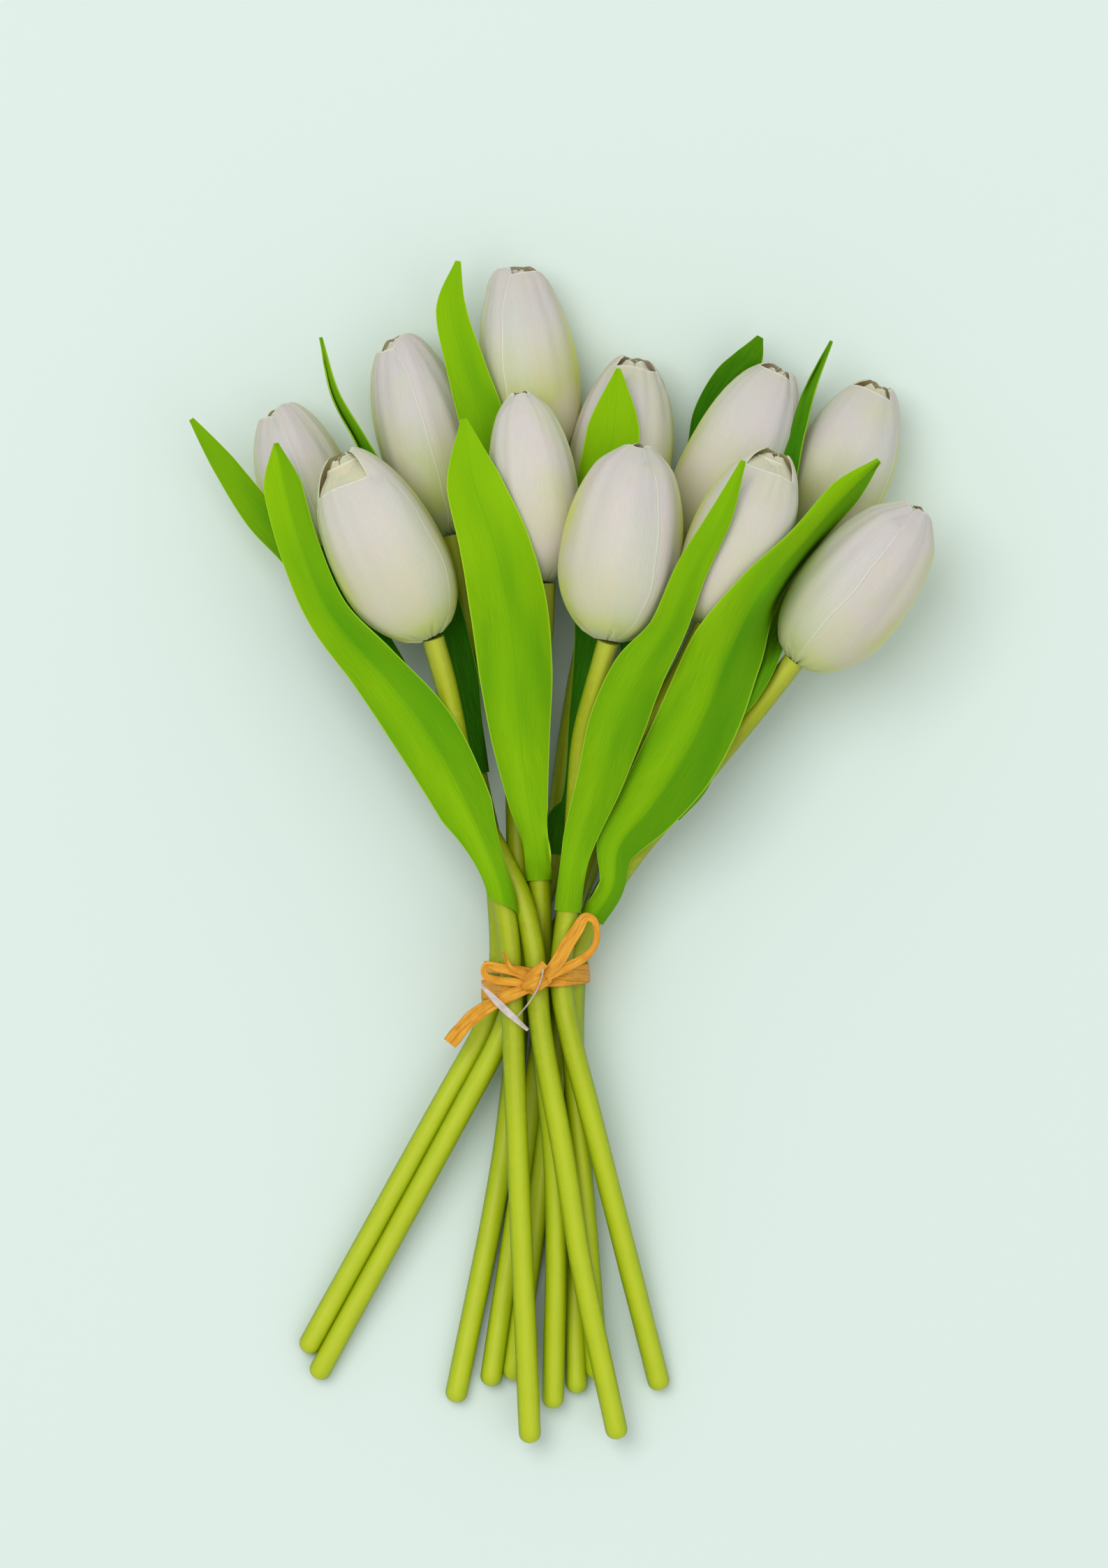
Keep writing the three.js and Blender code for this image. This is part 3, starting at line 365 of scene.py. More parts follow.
class Paint:
    """Builds one procedural material."""

    def __init__(self, name, **surface):
        self.material = bpy.data.materials.new(name)
        self.material.use_nodes = True
        self.tree = self.material.node_tree
        self.shader = self.tree.nodes["Principled BSDF"]
        for socket, value in surface.items():
            self.shader.inputs[socket.replace("_", " ")].default_value = value

    def node(self, kind, inputs=(), **settings):
        made = self.tree.nodes.new(kind)
        for key, value in settings.items():
            setattr(made, key, value)
        for socket, value in dict(inputs).items():
            if isinstance(value, bpy.types.NodeSocket):
                self.tree.links.new(value, made.inputs[socket])
            else:
                made.inputs[socket].default_value = value
        return made

    def uv(self, name):
        return self.node("ShaderNodeUVMap", uv_map=name).outputs[0]

    def place(self):
        return self.node("ShaderNodeTexCoord").outputs["Object"]

    def scaled(self, vector, scale):
        return self.node("ShaderNodeMapping", {"Vector": vector, "Scale": scale}).outputs[0]

    def split(self, vector):
        return self.node("ShaderNodeSeparateXYZ", {0: vector}).outputs

    def noise(self, vector, scale, detail=3.0, distortion=0.0):
        inputs = {"Vector": vector, "Scale": scale, "Detail": detail, "Distortion": distortion}
        return self.node("ShaderNodeTexNoise", inputs).outputs["Fac"]

    def math(self, operation, a, b=0.0, c=0.0):
        return self.node("ShaderNodeMath", {0: a, 1: b, 2: c}, operation=operation).outputs[0]

    def span(self, value, low, high, start=0.0, end=1.0):
        """value from low..high mapped to start..end, eased."""
        inputs = {0: value, 1: low, 2: high, 3: start, 4: end}
        return self.node("ShaderNodeMapRange", inputs, interpolation_type="SMOOTHSTEP").outputs[0]

    def off_middle(self, u):
        """0 down the middle of a sheet and 1 at both edges."""
        return self.math("ABSOLUTE", self.math("MULTIPLY_ADD", u, 2.0, -1.0))

    def wave(self, value, rate):
        """A sine wave from -0.5 to 0.5."""
        return self.math("MULTIPLY", self.math("SINE", self.math("MULTIPLY", value, rate)), 0.5)

    def mix(self, share, a, b):
        return self.node("ShaderNodeMix", {0: share, 6: a, 7: b}, data_type="RGBA").outputs[2]

    def ramp(self, share, stops):
        made = self.node("ShaderNodeValToRGB", {0: share})
        points = made.color_ramp.elements
        while len(points) < len(stops):
            points.new(0.5)
        for point, (place, colour) in zip(points, stops):
            point.position = place
            point.color = colour
        return made.outputs[0]

    def bump(self, height, strength, distance):
        inputs = {"Height": height, "Strength": strength, "Distance": distance * MM}
        if self.shader.inputs["Normal"].links:
            inputs["Normal"] = self.shader.inputs["Normal"].links[0].from_socket
        made = self.node("ShaderNodeBump", inputs)
        self.tree.links.new(made.outputs[0], self.shader.inputs["Normal"])

    def colour(self, socket):
        self.tree.links.new(socket, self.shader.inputs["Base Color"])
        return self.material

    def rough(self, socket):
        self.tree.links.new(socket, self.shader.inputs["Roughness"])


def petal_material(name, inner, green_base):
    """White foam with a lilac tint; green_base is how strongly the lower part of the bloom is green."""
    paint = Paint(name, Specular_IOR_Level=0.35, Subsurface_Weight=0.12, Subsurface_Scale=0.004)
    u, v, _ = paint.split(paint.uv("share"))
    place = paint.place()
    body = paint.ramp(v, [
        (0.0, srgb(170, 196, 40)), (0.05, srgb(200, 212, 100)), (0.16, srgb(216, 216, 168)),
        (0.36, srgb(218, 213, 196)), (0.7, srgb(210, 204, 198)), (1.0, srgb(206, 200, 186)),
    ])
    if green_base < 0.5:  # a front or an inner petal, which is less green at its own base
        body = paint.mix(paint.span(v, 0.01, 0.14, 0.1, 0.75), body, srgb(216, 208, 197))
    # Painted shade tinted green by bounced light on the sides of a bloom, and a painted yellow-green rim
    # light at its outline, both less so towards the tip
    facing, height, _ = paint.split(paint.uv("around"))
    low_down = paint.span(height, 0.25, 0.95, 1.0, 0.15)
    painted_green_shade = paint.math("MULTIPLY", paint.span(facing, 0.5, 0.94, 1.0, 0.0), low_down)
    body = paint.mix(painted_green_shade, body, srgb(182, 190, 30))
    # The painted yellow-green rim light along the bloom's outline
    low_down = paint.span(height, 0.3, 0.95, 1.0, 0.25)
    outline = paint.math("MULTIPLY", paint.span(facing, 0.52, 0.76, 0.8, 0.0), low_down)
    body = paint.mix(outline, body, srgb(222, 230, 40))
    rise = paint.math("MULTIPLY_ADD", paint.noise(place, 26.0, 1.0), 0.5, height)
    body = paint.mix(paint.span(rise, 0.35, 1.0, green_base, 0.0), body, srgb(186, 191, 84))
    # Inside the bloom the petals and core turn khaki, partly their own tint and partly painted shade
    if inner:
        body = paint.mix(0.7, body, srgb(214, 206, 166))
    # Clouds of lilac and green, fibres along the petal, painted shade near its sides, and a pale edge
    lilac = paint.span(paint.noise(place, 38.0, 2.0), 0.42, 0.66, 0.0, 0.5)
    body = paint.mix(lilac, body, srgb(216, 200, 204))
    green = paint.span(paint.noise(paint.scaled(place, (1.3, 1.3, 1.3)), 47.0, 2.0), 0.5, 0.72, 0.0, 0.4)
    body = paint.mix(green, body, srgb(206, 208, 160))
    fibres = paint.noise(paint.scaled(paint.uv("cm"), (9.0, 0.7, 1.0)), 3.0, 4.0, 0.3)
    body = paint.mix(paint.span(fibres, 0.35, 0.7, 0.0, 0.16), body, srgb(196, 191, 181))
    side = paint.off_middle(u)
    # Painted shade near the petal's sides, where it meets its neighbours
    body = paint.mix(paint.span(side, 0.93, 0.985, 0.0, 0.2), body, srgb(212, 214, 170))
    rim = paint.math("MAXIMUM", paint.span(side, 0.975, 0.992), paint.span(v, 0.985, 0.996))
    body = paint.mix(paint.math("MULTIPLY", rim, 0.5), body, srgb(236, 237, 220))
    paint.rough(paint.span(fibres, 0.3, 0.7, 0.5, 0.62))
    paint.bump(fibres, 0.35, 0.35)
    paint.bump(paint.noise(place, 900.0, 2.0), 0.12, 0.1)
    return paint.colour(body)


def leaf_material(name, painted_shade_levels, painted_right_shade):
    """Green woven fabric, with painted shade where the leaf's own list says so and on its right half."""
    paint = Paint(name, Specular_IOR_Level=0.05)
    u, v, _ = paint.split(paint.uv("share"))
    cm = paint.uv("cm")
    across, along, _ = paint.split(cm)
    # Streaks along the blade, dark patches, dark and pale bands, and a paler tip
    streaks = paint.noise(paint.scaled(cm, (16.0, 0.5, 1.0)), 2.4, 4.0, 0.1)
    body = paint.ramp(streaks, [
        (0.25, srgb(120, 174, 4)), (0.5, srgb(132, 184, 8)), (0.75, srgb(144, 192, 16)),
    ])
    patches = paint.noise(paint.place(), 32.0, 2.0)
    body = paint.mix(paint.span(patches, 0.35, 0.7, 0.0, 0.5), body, srgb(114, 176, 10))
    bands = paint.noise(paint.scaled(cm, (0.8, 0.16, 1.0)), 1.0, 1.0)
    body = paint.mix(paint.span(bands, 0.45, 0.68, 0.0, 0.65), body, srgb(84, 152, 10))
    body = paint.mix(paint.span(bands, 0.32, 0.46, 0.5, 0.0), body, srgb(154, 202, 20))
    body = paint.mix(paint.span(v, 0.55, 0.9, 0.0, 0.4), body, srgb(152, 202, 8))
    # The weave, painted shade along the leaf and on its right half, a darker line down its middle and its
    # pale edges
    weave = paint.math("MULTIPLY", paint.wave(across, 78.0), paint.wave(along, 66.0))
    body = paint.mix(paint.span(weave, -0.25, 0.25, 0.0, 0.22), body, srgb(70, 140, 4))
    # Painted shade along the leaf, at the levels in its own list
    shade = paint.ramp(v, [(k / (len(painted_shade_levels) - 1), (value, value, value, 1)) for k, value in enumerate(painted_shade_levels)])
    leaf_shade_green = paint.mix(paint.span(streaks, 0.3, 0.7), srgb(18, 92, 6), srgb(40, 118, 12))
    body = paint.mix(shade, body, leaf_shade_green)
    # Painted shade on the leaf's right half
    if painted_right_shade:
        right = paint.math("MULTIPLY", paint.span(u, 0.5, 0.58), painted_right_shade)
        body = paint.mix(right, body, srgb(58, 134, 10))
    # Darker down the middle of the leaf
    middle_line = paint.span(paint.math("ABSOLUTE", paint.math("SUBTRACT", u, 0.5)), 0.004, 0.02, 0.3, 0.0)
    body = paint.mix(middle_line, body, srgb(92, 160, 10))
    body = paint.mix(paint.span(paint.off_middle(u), 0.95, 0.99, 0.0, 0.6), body, srgb(178, 222, 60))
    paint.rough(paint.span(streaks, 0.3, 0.7, 0.66, 0.8))
    paint.bump(weave, 0.2, 0.1)
    paint.bump(streaks, 0.1, 0.15)
    return paint.colour(body)


def stem_material():
    """Olive above the tie, lime below it, with painted shade at the sides of the stem and a painted highlight
    along its top.
    """
    paint = Paint("stem_plastic", Specular_IOR_Level=0.35)
    _, v, _ = paint.split(paint.uv("share"))
    body = paint.ramp(v, [
        (0.0, srgb(176, 180, 56)), (0.06, srgb(158, 166, 8)), (0.5, srgb(158, 174, 4)),
        (0.6, srgb(178, 196, 10)), (0.97, srgb(184, 200, 22)), (1.0, srgb(190, 204, 40)),
    ])
    mottle = paint.noise(paint.scaled(paint.uv("cm"), (1.5, 0.5, 1.0)), 2.2, 4.0)
    body = paint.mix(paint.span(mottle, 0.35, 0.7, 0.0, 0.4), body, srgb(166, 188, 12))
    # Painted shade down the sides of the stem and a painted highlight along its top
    facing, _, _ = paint.split(paint.uv("around"))
    body = paint.mix(paint.span(facing, 0.55, 0.95, 0.85, 0.0), body, srgb(124, 150, 0))
    body = paint.mix(paint.span(facing, 0.95, 1.0, 0.0, 0.35), body, srgb(194, 206, 40))
    fleck = paint.noise(paint.place(), 420.0, 3.0)
    body = paint.mix(paint.span(fleck, 0.5, 0.75, 0.0, 0.25), body, srgb(190, 202, 44))
    paint.rough(paint.span(mottle, 0.3, 0.7, 0.38, 0.5))
    paint.bump(mottle, 0.2, 0.4)
    paint.bump(fleck, 0.12, 0.1)
    return paint.colour(body)


def raffia_material():
    """Orange fibres that run along each strip, with painted shade at its edges."""
    paint = Paint("raffia_strip", Specular_IOR_Level=0.3)
    fibres = paint.noise(paint.scaled(paint.uv("cm"), (14.0, 0.8, 1.0)), 2.0, 5.0, 0.4)
    body = paint.ramp(fibres, [
        (0.25, srgb(188, 118, 14)), (0.42, srgb(216, 148, 26)),
        (0.58, srgb(230, 166, 46)), (0.8, srgb(242, 190, 92)),
    ])
    knots = paint.noise(paint.place(), 260.0, 3.0)
    body = paint.mix(paint.span(knots, 0.5, 0.75, 0.0, 0.4), body, srgb(190, 116, 20))
    u, _, _ = paint.split(paint.uv("share"))
    # Painted shade at the edges of each strip
    body = paint.mix(paint.span(paint.off_middle(u), 0.82, 1.0, 0.0, 0.45), body, srgb(176, 104, 14))
    paint.rough(paint.span(fibres, 0.3, 0.7, 0.5, 0.7))
    paint.bump(fibres, 0.6, 0.5)
    return paint.colour(body)


def pin_material():
    """Milky plastic."""
    paint = Paint("pin_plastic", Specular_IOR_Level=0.5, Subsurface_Weight=0.1, Subsurface_Scale=0.002)
    cloud = paint.noise(paint.place(), 500.0, 3.0)
    body = paint.mix(paint.span(cloud, 0.35, 0.7), srgb(196, 182, 172), srgb(216, 206, 198))
    paint.rough(paint.span(cloud, 0.3, 0.7, 0.3, 0.45))
    return paint.colour(body)


# Blooms


def bloom_share(t):
    """The radius of a bloom at this share of its length, against its greatest."""
    t = min(max(t, 0.0), 1.0)
    if t < PEAK:
        return mix(BASE_SHARE, 1, (1 - ((PEAK - t) / PEAK) ** 2.15) ** 0.66)
    return mix(TIP_SHARE, 1, max(0, 1 - ((t - PEAK) / (1 - PEAK)) ** 2.3) ** 0.74)


def petal_half_angle(t, widest):
    """Full width low down and past the middle, rounded off to a blunt tip and a little at the base."""
    top = max(0, (t - 0.55) / 0.58)
    low = max(0, (0.1 - t) / 0.1)
    return math.radians(widest) * (1 - top ** 3.6) ** 0.5 * (1 - 0.24 * low ** 2)


def petal_grids(bloom, centre, widest, start, end, full, inset, lifts, trim, flare, seed):
    """Points of a petal's front and back.

    It lies round its centre angle, from its start to its end as shares of the bloom, which closes at its
    full share. The lifts raise its left edge and its right edge, trim shortens it, and flare opens its tip.
    """
    base, tip, radius, turn, _ = bloom
    base = np.array(base, dtype=float)
    length = np.linalg.norm(np.array(tip) - base)
    axis = unit(np.array(tip) - base)
    up = unit(UP - axis * axis[2])
    side = np.cross(axis, up)
    front, back = [], []
    for i in range(PETAL_ROWS + 1):
        share = i / PETAL_ROWS
        share = share + 0.4 * share * (1 - share)  # rows lie closer together towards the tip
        t = mix(start, end, share)
        top = smoothstep(t, 0.55, 1.0)
        low = 1 - smoothstep(t, 0.0, 0.1)
        lip = smoothstep(t, 0.88, 1.0)
        front_row, back_row = [], []
        for j in range(PETAL_COLUMNS + 1):
            across = 2 * j / PETAL_COLUMNS - 1
            half = petal_half_angle(share if start == 0 else 0.16 + 0.84 * share, widest)
            half += math.radians(2.5) * wobble(share * 5, seed + across, 4.0)
            angle = math.radians(centre) + across * half
            edge = smoothstep(abs(across), 0.72, 1.0)
            along = t * length - trim * top
            place = along / length
            # The bloom is a little three-sided, with noise that dies down where it narrows
            corners = math.cos(3 * (angle - math.radians(turn)))
            roundness = 1 - THREE_SIDED * corners * smoothstep(place, 0.02, 0.3)
            r = radius * bloom_share(place / full) * roundness - inset
            r += mix(*lifts, (across + 1) / 2) * smoothstep(t, 0.0, 0.2)
            east, north = math.cos(angle), math.sin(angle)
            r += 0.3 * wobble(1.4 * east, 1.4 * north, place * 2.5 + radius * 5)
            calm = bloom_share(place / full) ** 0.8
            folds = wobble(3.6 * east, 3.6 * north, 0.7 * place + radius * 9)
            r += 0.8 * calm * smoothstep(t, 0.1, 0.7) * folds
            wrinkles = wobble(9 * east, 9 * north, place + radius * 3)
            r += 0.5 * calm * smoothstep(t, 0.6, 1.0) * wrinkles
            r += lip * (flare + 0.5 * wobble(across * 1.3 + seed * 3, seed, 1.0))
            r = max(r, 0.9)
            along += lip * (0.6 * wobble(across * 1.3, seed * 5.0, 2.0) - 0.6 * across ** 2)
            along += low * 1.6 * max(0, wobble(across * 5, seed * 3.0, 6.0))
            thickness = mix(*PETAL_THICKNESS, top) * mix(1.0, PETAL_RIM, edge)
            direction = up * math.cos(angle) + side * math.sin(angle)
            outer = base + axis * along + direction * r
            inner = base + axis * along + direction * max(r - thickness, 0.4)
            outer[2] = max(outer[2], PETAL_LOWEST[0])
            inner[2] = max(inner[2], PETAL_LOWEST[1])
            front_row.append(outer)
            back_row.append(inner)
        front.append(front_row)
        back.append(back_row)
    return front, back


def around_map(points, bloom):
    """How far each point's side of a bloom faces up, and where it is from base to tip."""
    base = np.array(bloom[0], dtype=float)
    axis = unit(np.array(bloom[1]) - base)
    up = unit(UP - axis * axis[2])
    away = np.array(points) - base
    along = away @ axis
    out = away - along[:, None] * axis
    facing = (out @ up) / (np.linalg.norm(out, axis=1) + 0.01)
    return [(0.5 + 0.5 * f, a / BLOOM_LENGTH) for f, a in zip(facing, along)]


def add_bloom(number, bloom, outer_material, inner_material):
    """Three outer petals over three inner ones, round a core that fills the bloom."""
    base, tip, radius, turn, trim = bloom
    name = "bloom_%02d" % number
    outside, inside, core = Shape(), Shape(), Shape()
    full = 1.0 if number in SHORT_BLOOMS else FULL
    outer = (OUTER_HALF_ANGLE, 0.0, full, full, 0.0)
    inner = (INNER_HALF_ANGLE, INNER_START, full - INNER_SHORTER, full, INNER_INSET)
    lip = LIP_OF_BLOOM.get(number, LIP)
    # Each petal: its layer, centre angle, form, the lifts of its edges, its trim and its flare
    petals = [
        (outside, turn, *outer, (0.25, 0.25), trim, lip),
        (outside, turn + 120, *outer, (0, 0.2), 0, lip),
        (outside, turn + 240, *outer, (0, 0), 0, lip),
        (inside, turn + 60, *inner, (0, 0.2), INNER_TRIM, INNER_LIP),
        (inside, turn + 180, *inner, (0, 0.2), 0, INNER_LIP),
        (inside, turn + 300, *inner, (0, 0.2), INNER_TRIM, INNER_LIP),
    ]
    for k, (shape, *petal) in enumerate(petals):
        front, back = petal_grids(bloom, *petal, number * 7.3 + k * 2.1)
        wide, long = PETAL_CM
        shape.sheet(front, back, lambda i, j: (wide * j / PETAL_COLUMNS + k, long * i / PETAL_ROWS))
    base = np.array(base, dtype=float)
    axis = unit(np.array(tip) - base)
    length = np.linalg.norm(np.array(tip) - base) * full * CORE_TOP
    centres = [base + axis * length * n / CORE_RINGS for n in range(CORE_RINGS + 1)]

    def core_radius(n):
        return max(radius * bloom_share(CORE_TOP * n / CORE_RINGS) - CORE_INSET, CORE_LEAST)

    core.tube(centres, core_radius, CORE_SIDES, CORE_STEP)
    pieces = (
        (outside, "_outer_petals", outer_material),
        (inside, "_inner_petals", inner_material),
        (core, "_core", inner_material),
    )
    for shape, ending, material in pieces:
        around = around_map(shape.points, bloom)
        put(shape.build(name + ending, material, around=around), name)


# Stems


def node_corners(name):
    """The corners of a node's solid, in millimetres."""
    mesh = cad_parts[name].data
    points = np.empty(len(mesh.vertices) * 3)
    mesh.vertices.foreach_get("co", points)
    return points.reshape(-1, 3) / MM


def node_edges(name):
    """The two ends of each edge of a node's solid."""
    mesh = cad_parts[name].data
    edges = np.empty(len(mesh.edges) * 2, dtype=int)
    mesh.edges.foreach_get("vertices", edges)
    return node_corners(name)[edges.reshape(-1, 2)]


def slice_centre(edges, y):
    """The middle of a solid's cut at this y."""
    a, b = edges[:, 0], edges[:, 1]
    crossing = (a[:, 1] - y) * (b[:, 1] - y) < 0
    a, b = a[crossing], b[crossing]
    share = ((y - a[:, 1]) / (b[:, 1] - a[:, 1]))[:, None]
    cut = a + (b - a) * share
    return (cut.min(axis=0) + cut.max(axis=0)) / 2


def stem_route(name):
    """Points down the middle of a stem's solid, smoothed."""
    edges = node_edges(name)
    top = edges[:, :, 1].max()
    low = edges[:, :, 1].min()
    ys = np.arange(top - STEM_INSET, low + STEM_INSET, -STEM_STEP)
    centres = np.array([slice_centre(edges, y) for y in ys])
    smooth = centres.copy()
    for _ in range(STEM_SMOOTHING):
        smooth[1:-1] = 0.5 * smooth[1:-1] + 0.25 * (smooth[:-2] + smooth[2:])
    head = unit(smooth[0] - smooth[3])
    tail = unit(smooth[-1] - smooth[-4])
    first = smooth[0] + head * (STEM_INSET - 0.3)
    last = smooth[-1] + tail * (STEM_INSET - STEM_RADIUS * 0.2)
    return np.vstack([first, smooth, last])


def add_stem(number, route, material):
    """A tube down the route, with a domed lower end."""
    end = route[-1]
    along = unit(route[-1] - route[-3])
    centres = list(route[:-1])
    plain = len(centres)
    start = end - along * STEM_RADIUS
    if np.dot(start - centres[-2], along) > 0.5:
        centres[-1] = start
    for cosine in STEM_DOME:
        centres.append(start + along * STEM_RADIUS * math.sqrt(1 - cosine ** 2))

    def radius(n):
        full = STEM_RADIUS * STEM_SWELL
        if n >= plain:
            return full * STEM_DOME[n - plain]
        return full * (1 + 0.018 * wobble(n * 0.16, number * 3.7))

    shape = Shape()
    shape.tube([np.array(c) for c in centres], radius, STEM_SIDES, STEM_STEP / 10)
    for point in shape.points:
        point[2] = max(point[2], STEM_LOWEST)
    angles = [2 * math.pi * (n % STEM_SIDES) / STEM_SIDES for n in range(len(shape.points))]
    # How far each side of the stem faces up, for its painted shade and highlight
    around = [(0.5 + 0.5 * math.sin(a), 0.5) for a in angles]
    put(shape.build("stem_%02d_tube" % number, material, around=around), "stem_%02d" % number)


def point_at(route, y):
    """Where a stem's route is at this y."""
    n = int(np.argmax(route[:, 1] < y))
    a, b = route[n - 1], route[n]
    return a + (b - a) * (y - a[1]) / (b[1] - a[1])


# Leaves


def leaf_surface(leaf, route):
    """A leaf before it is bent.

    Gives a function of the share along it and of how far across, from -1 to 1, for its middle surface,
    and also the number of rows of its solid and its widths.
    """
    _, start, roll, fold, line, _, _ = leaf
    pipe = STEM_RADIUS + LEAF_REST
    sheath = []
    for y in (start, start + SHEATH_LENGTH):
        p = point_at(route, y)
        sheath.append([p[0], p[1], SHEATH_WIDTH, p[2] + pipe])
    line = sheath + line
    last = len(line) - 1
    midline = Curve([[x, y, z] for x, y, _, z in line])
    widths = Curve([[width, n, 0] for n, (_, _, width, _) in enumerate(line)])

    def at(share, across):
        centre = midline.at(share)
        along = midline.along(share)
        along = unit(np.array([along[0], along[1], 0]))
        half = widths.at(share)[0] / 2
        opened = min(1, max(0, share * last - 1))
        turn = math.radians(roll) * smoothstep(share, 0.3, 0.65)
        flat = np.array([along[1], -along[0], 0])
        side = flat * math.cos(turn) + UP * math.sin(turn)
        top = UP * math.cos(turn) - flat * math.sin(turn)
        angle = across * SHEATH_HALF_ANGLE
        sideways = mix(pipe * math.sin(angle), across * half, opened)
        drop = mix(pipe * (1 - math.cos(angle)), fold * half * abs(across) ** CREASE, opened)
        return centre + side * sideways - top * drop

    return at, math.floor(SOLID_ROWS * last + 0.5), widths


def leaf_bend(name, at, rows):
    """How far each corner of a leaf's solid was bent up or down, on the solid's own coarse grid."""
    points = np.unique(node_corners(name).round(4), axis=0)
    tree = kdtree.KDTree(len(points))
    for n, (x, y, _) in enumerate(points):
        tree.insert((x, y, 0), n)
    tree.balance()
    bend = np.zeros((rows + 1, SOLID_COLUMNS + 1))
    for i in range(rows + 1):
        for j in range(SOLID_COLUMNS + 1):
            p = at(i / rows, 2 * j / SOLID_COLUMNS - 1)
            near = [n for _, n, _ in tree.find_n((p[0], p[1], 0), 2)]
            bend[i, j] = points[near, 2].mean() - p[2]
    return bend


def cubic(values, place):
    """A smooth curve through evenly spaced values, which may be rows of numbers."""
    last = len(values) - 1
    i = min(max(int(place), 0), last - 1)
    w = place - i
    a, b = values[max(i - 1, 0)], values[i]
    c, d = values[i + 1], values[min(i + 2, last)]
    return b + 0.5 * w * (c - a + w * (2 * a - 5 * b + 4 * c - d + w * (3 * (b - c) + d - a)))


def add_leaf(number, leaf, route):
    """A thin blade on its sheath, bent as its solid is, with small waves."""
    name = "leaf_%02d" % number
    at, rows, widths = leaf_surface(leaf, route)
    bend = leaf_bend(name, at, rows)
    slant = SLANT_OF_LEAF.get(number, 0.0)
    middle = []
    for i in range(LEAF_ROWS + 1):
        share = i / LEAF_ROWS
        row = []
        for j in range(LEAF_COLUMNS + 1):
            across = 2 * j / LEAF_COLUMNS - 1
            cut = share + slant * (1 - across) / 2 * (1 - share) ** 12
            p = at(cut, across)
            p[2] += cubic(cubic(bend, cut * rows), (across + 1) * SOLID_COLUMNS / 2)
            opened = smoothstep(share, 0.15, 0.3)
            p[2] += 0.12 * opened * wobble(across * 2.5 + number * 5, share * 9, number)
            row.append(p)
        middle.append(row)
    middle = np.array(middle)
    along = np.gradient(middle, axis=0)
    across = np.gradient(middle, axis=1)
    normal = np.cross(across, along)
    normal /= np.linalg.norm(normal, axis=2, keepdims=True) + 1e-9
    front = middle + normal * LEAF_THICKNESS / 2
    back = middle - normal * LEAF_THICKNESS / 2
    front[:, :, 2] = np.maximum(front[:, :, 2], LEAF_LOWEST[0])
    back[:, :, 2] = np.maximum(back[:, :, 2], LEAF_LOWEST[1])
    steps = np.diff(middle[:, LEAF_COLUMNS // 2], axis=0)
    lengths = np.cumsum(np.r_[0, np.linalg.norm(steps, axis=1)])
    half = [widths.at(i / LEAF_ROWS)[0] / 2 for i in range(LEAF_ROWS + 1)]

    def cm(i, j):
        return ((2 * j / LEAF_COLUMNS - 1) * half[i] / 10, lengths[i] / 10)

    shape = Shape()
    shape.sheet(list(front), list(back), cm)
    material = leaf_material(name + "_fabric", leaf[5], leaf[6])
    put(shape.build(name + "_blade", material), name)


# Raffia and tag pin


def strip(shape, points, widths, seed, thickness=0.35, cup=0.25):
    """A fibrous ribbon along a line of points, with its own width at each, cupped and a little crumpled."""
    curve = Curve(points)
    width_curve = Curve([[w, n, 0] for n, w in enumerate(widths)])
    steps = STRIP_STEPS * (len(points) - 1)
    front, back, lengths = [], [], [0.0]
    for n in range(steps + 1):
        share = n / steps
        centre = curve.at(share)
        along = curve.along(share)
        side = unit(np.cross(along, UP))
        up = np.cross(side, along)
        lean = 0.25 * wobble(share * 4, seed, 3.0)
        side, up = side * math.cos(lean) + up * math.sin(lean), up * math.cos(lean) - side * math.sin(lean)
        width = width_curve.at(share)[0] * (1 + 0.08 * wobble(share * 7, seed))
        front_row, back_row = [], []
        for j in range(STRIP_COLUMNS + 1):
            across = 2 * j / STRIP_COLUMNS - 1
            rise = cup * width * 0.25 * (across ** 2 - 0.4)
            rise += 0.22 * wobble(across * 3.2 + seed, share * 3, seed)
            p = centre + side * across * width / 2 + up * rise
            front_row.append(p + up * thickness / 2)
            back_row.append(p - up * thickness / 2)
        if n:
            middle = STRIP_COLUMNS // 2
            lengths.append(lengths[-1] + np.linalg.norm(front_row[middle] - front[-1][middle]))
        front.append(front_row)
        back.append(back_row)
    shape.sheet(front, back, lambda i, j: (j / STRIP_COLUMNS * widths[0] / 10 + seed, lengths[i] / 10))


